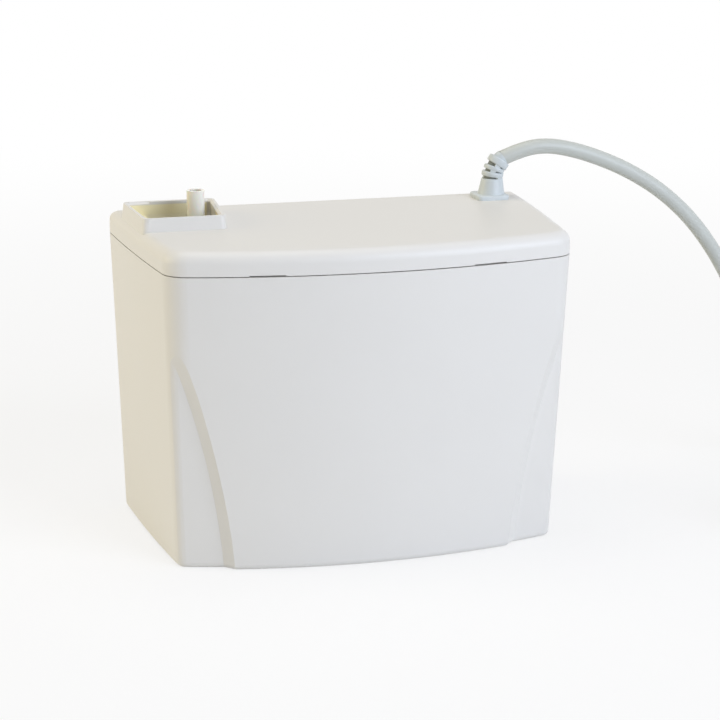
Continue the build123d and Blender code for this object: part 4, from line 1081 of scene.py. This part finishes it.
@dataclass(frozen=True)
class SoftBox:
    """A large soft lamp.

    Args:
        name: Name of the lamp.
        place: Where it stands, in metres.
        size: Its side, in metres.
        power: Its power in watts.
        colour: Its colour.
    """

    name: str
    place: Point
    size: float
    power: float
    colour: Colour

    def build(self, aim: Vector) -> None:
        """Hangs the lamp.

        Args:
            aim: The point that it faces.
        """
        lamp = bpy.data.lights.new(self.name, "AREA")
        lamp.size = self.size
        lamp.energy = self.power
        lamp.color = self.colour
        holder = add_object(self.name, lamp)
        holder.location = self.place
        holder.rotation_euler = (aim - Vector(self.place)).to_track_quat("-Z", "Y").to_euler()


@dataclass
class Studio:
    """Floor, backdrop light, lamps and camera."""

    aim: Vector = field(default_factory=lambda: Vector((0.0, 0.0, 75.0)) * MM)
    eye: Vector = field(default_factory=lambda: Vector((-236.3, -883.8, 314.2)) * MM)
    roll: float = 0.10
    lens: float = 114.3
    frame_width: float = 720.0
    axis_pixel: tuple[float, float] = (348.04, 355.1)
    nearest: float = 0.05
    floor_size: float = 6.0
    floor_gap: float = 0.02 * MM
    floor_paint: float = 0.88
    near_glow: float = 0.72
    fade_from: float = 0.2
    fade_to: float = 1.0
    sky: float = 0.26
    lamps: tuple[SoftBox, ...] = (
        SoftBox("left_box", (-1.75, 0.45, 0.55), 1.2, 15.2, (1.0, 0.88, 0.58)),
        SoftBox("front_box", (1.0, -1.45, 0.75), 1.2, 27.0, (0.76, 0.835, 1.0)),
        SoftBox("top_box", (-0.1, 0.1, 1.9), 1.5, 15.6, (1.0, 0.985, 0.96)),
    )

    def _camera(self) -> None:
        """Places the camera and shifts its frame."""
        data = bpy.data.cameras.new("camera")
        data.lens = self.lens
        data.shift_x = (self.frame_width / 2 - self.axis_pixel[0]) / self.frame_width
        data.shift_y = (self.axis_pixel[1] - self.frame_width / 2) / self.frame_width
        data.clip_start = self.nearest
        camera = add_object("camera", data)
        turn = (self.aim - self.eye).to_track_quat("-Z", "Y").to_matrix().to_4x4()
        roll = Matrix.Rotation(radians(self.roll), 4, "Z")
        camera.matrix_world = Matrix.Translation(self.eye) @ turn @ roll
        bpy.context.scene.camera = camera

    @staticmethod
    def _seen(nodes: Nodes, links: Links) -> Socket:
        """Adds the nodes that tell rays that show a thing from rays that light with it.

        Args:
            nodes: Nodes of the material or world.
            links: Its links.

        Returns:
            The socket that carries 1 for camera, glossy and transmission rays.
        """
        rays = nodes.new("ShaderNodeLightPath")
        seen = rays.outputs["Is Camera Ray"]
        for kind in ("Is Glossy Ray", "Is Transmission Ray"):
            seen = combine(nodes, links, "MAXIMUM", seen, rays.outputs[kind])
        return seen

    def _world(self) -> None:
        """Sets a white backdrop that lights the object softly."""
        world = bpy.data.worlds.new("studio")
        world.use_nodes = True
        nodes, links = world.node_tree.nodes, world.node_tree.links
        background = nodes["Background"]
        background.inputs["Color"].default_value = (1.0, 1.0, 1.0, 1.0)
        level = nodes.new("ShaderNodeMapRange")
        level.inputs["To Min"].default_value = self.sky
        level.inputs["To Max"].default_value = 1.0
        links.new(self._seen(nodes, links), level.inputs["Value"])
        links.new(level.outputs["Result"], background.inputs["Strength"])
        bpy.context.scene.world = world

    def _floor_glow(self, nodes: Nodes, links: Links) -> Socket:
        """Adds the share of plain white in the floor, which grows away from the object.

        Args:
            nodes: Nodes of the floor's material.
            links: Its links.

        Returns:
            The socket that carries the share.
        """
        place = nodes.new("ShaderNodeTexCoord")
        distance = nodes.new("ShaderNodeVectorMath")
        distance.operation = "LENGTH"
        links.new(place.outputs["Object"], distance.inputs[0])
        fade = nodes.new("ShaderNodeMapRange")
        fade.interpolation_type = "SMOOTHSTEP"
        fade.inputs["From Min"].default_value = self.fade_from
        fade.inputs["From Max"].default_value = self.fade_to
        fade.inputs["To Min"].default_value = self.near_glow
        fade.inputs["To Max"].default_value = 1.0
        links.new(distance.outputs["Value"], fade.inputs["Value"])
        return combine(nodes, links, "MULTIPLY", self._seen(nodes, links), fade.outputs["Result"])

    def _floor(self) -> None:
        """Lays a pale floor that keeps the object's shadow."""
        shape = bmesh.new()
        bmesh.ops.create_grid(shape, x_segments=2, y_segments=2, size=self.floor_size)
        mesh = bpy.data.meshes.new("floor")
        shape.to_mesh(mesh)
        shape.free()
        material = bpy.data.materials.new("pale_floor")
        material.use_nodes = True
        nodes, links = material.node_tree.nodes, material.node_tree.links
        nodes.clear()
        paint = nodes.new("ShaderNodeBsdfDiffuse")
        paint.inputs["Color"].default_value = (self.floor_paint, self.floor_paint, self.floor_paint, 1.0)
        glow = nodes.new("ShaderNodeEmission")
        glow.inputs["Strength"].default_value = 1.0
        mix = nodes.new("ShaderNodeMixShader")
        output = nodes.new("ShaderNodeOutputMaterial")
        links.new(self._floor_glow(nodes, links), mix.inputs["Fac"])
        links.new(paint.outputs["BSDF"], mix.inputs[1])
        links.new(glow.outputs["Emission"], mix.inputs[2])
        links.new(mix.outputs["Shader"], output.inputs["Surface"])
        mesh.materials.append(material)
        floor = add_object("floor", mesh)
        floor.location.z = -self.floor_gap

    def build(self) -> None:
        """Sets up the studio."""
        bpy.context.scene.view_settings.view_transform = "Standard"
        self._camera()
        self._world()
        self._floor()
        for lamp in self.lamps:
            lamp.build(self.aim)
        LOG.info("studio: camera, floor and %d lamps", len(self.lamps))


def main() -> None:
    """Dresses the pump and sets up the studio."""
    logging.basicConfig(level=logging.INFO, format="%(message)s")
    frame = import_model()
    Studio().build()
    shop = Workshop(frame)
    PowerCord(shop).build()
    Gland(shop).build()
    Plug(shop).dress()
    Casing(shop).dress()
    Motor(shop).dress()
    Pump(shop).dress()
    FloatSwitch(shop).dress()
    Electrics(shop).dress()


if __name__ == "__main__":
    main()
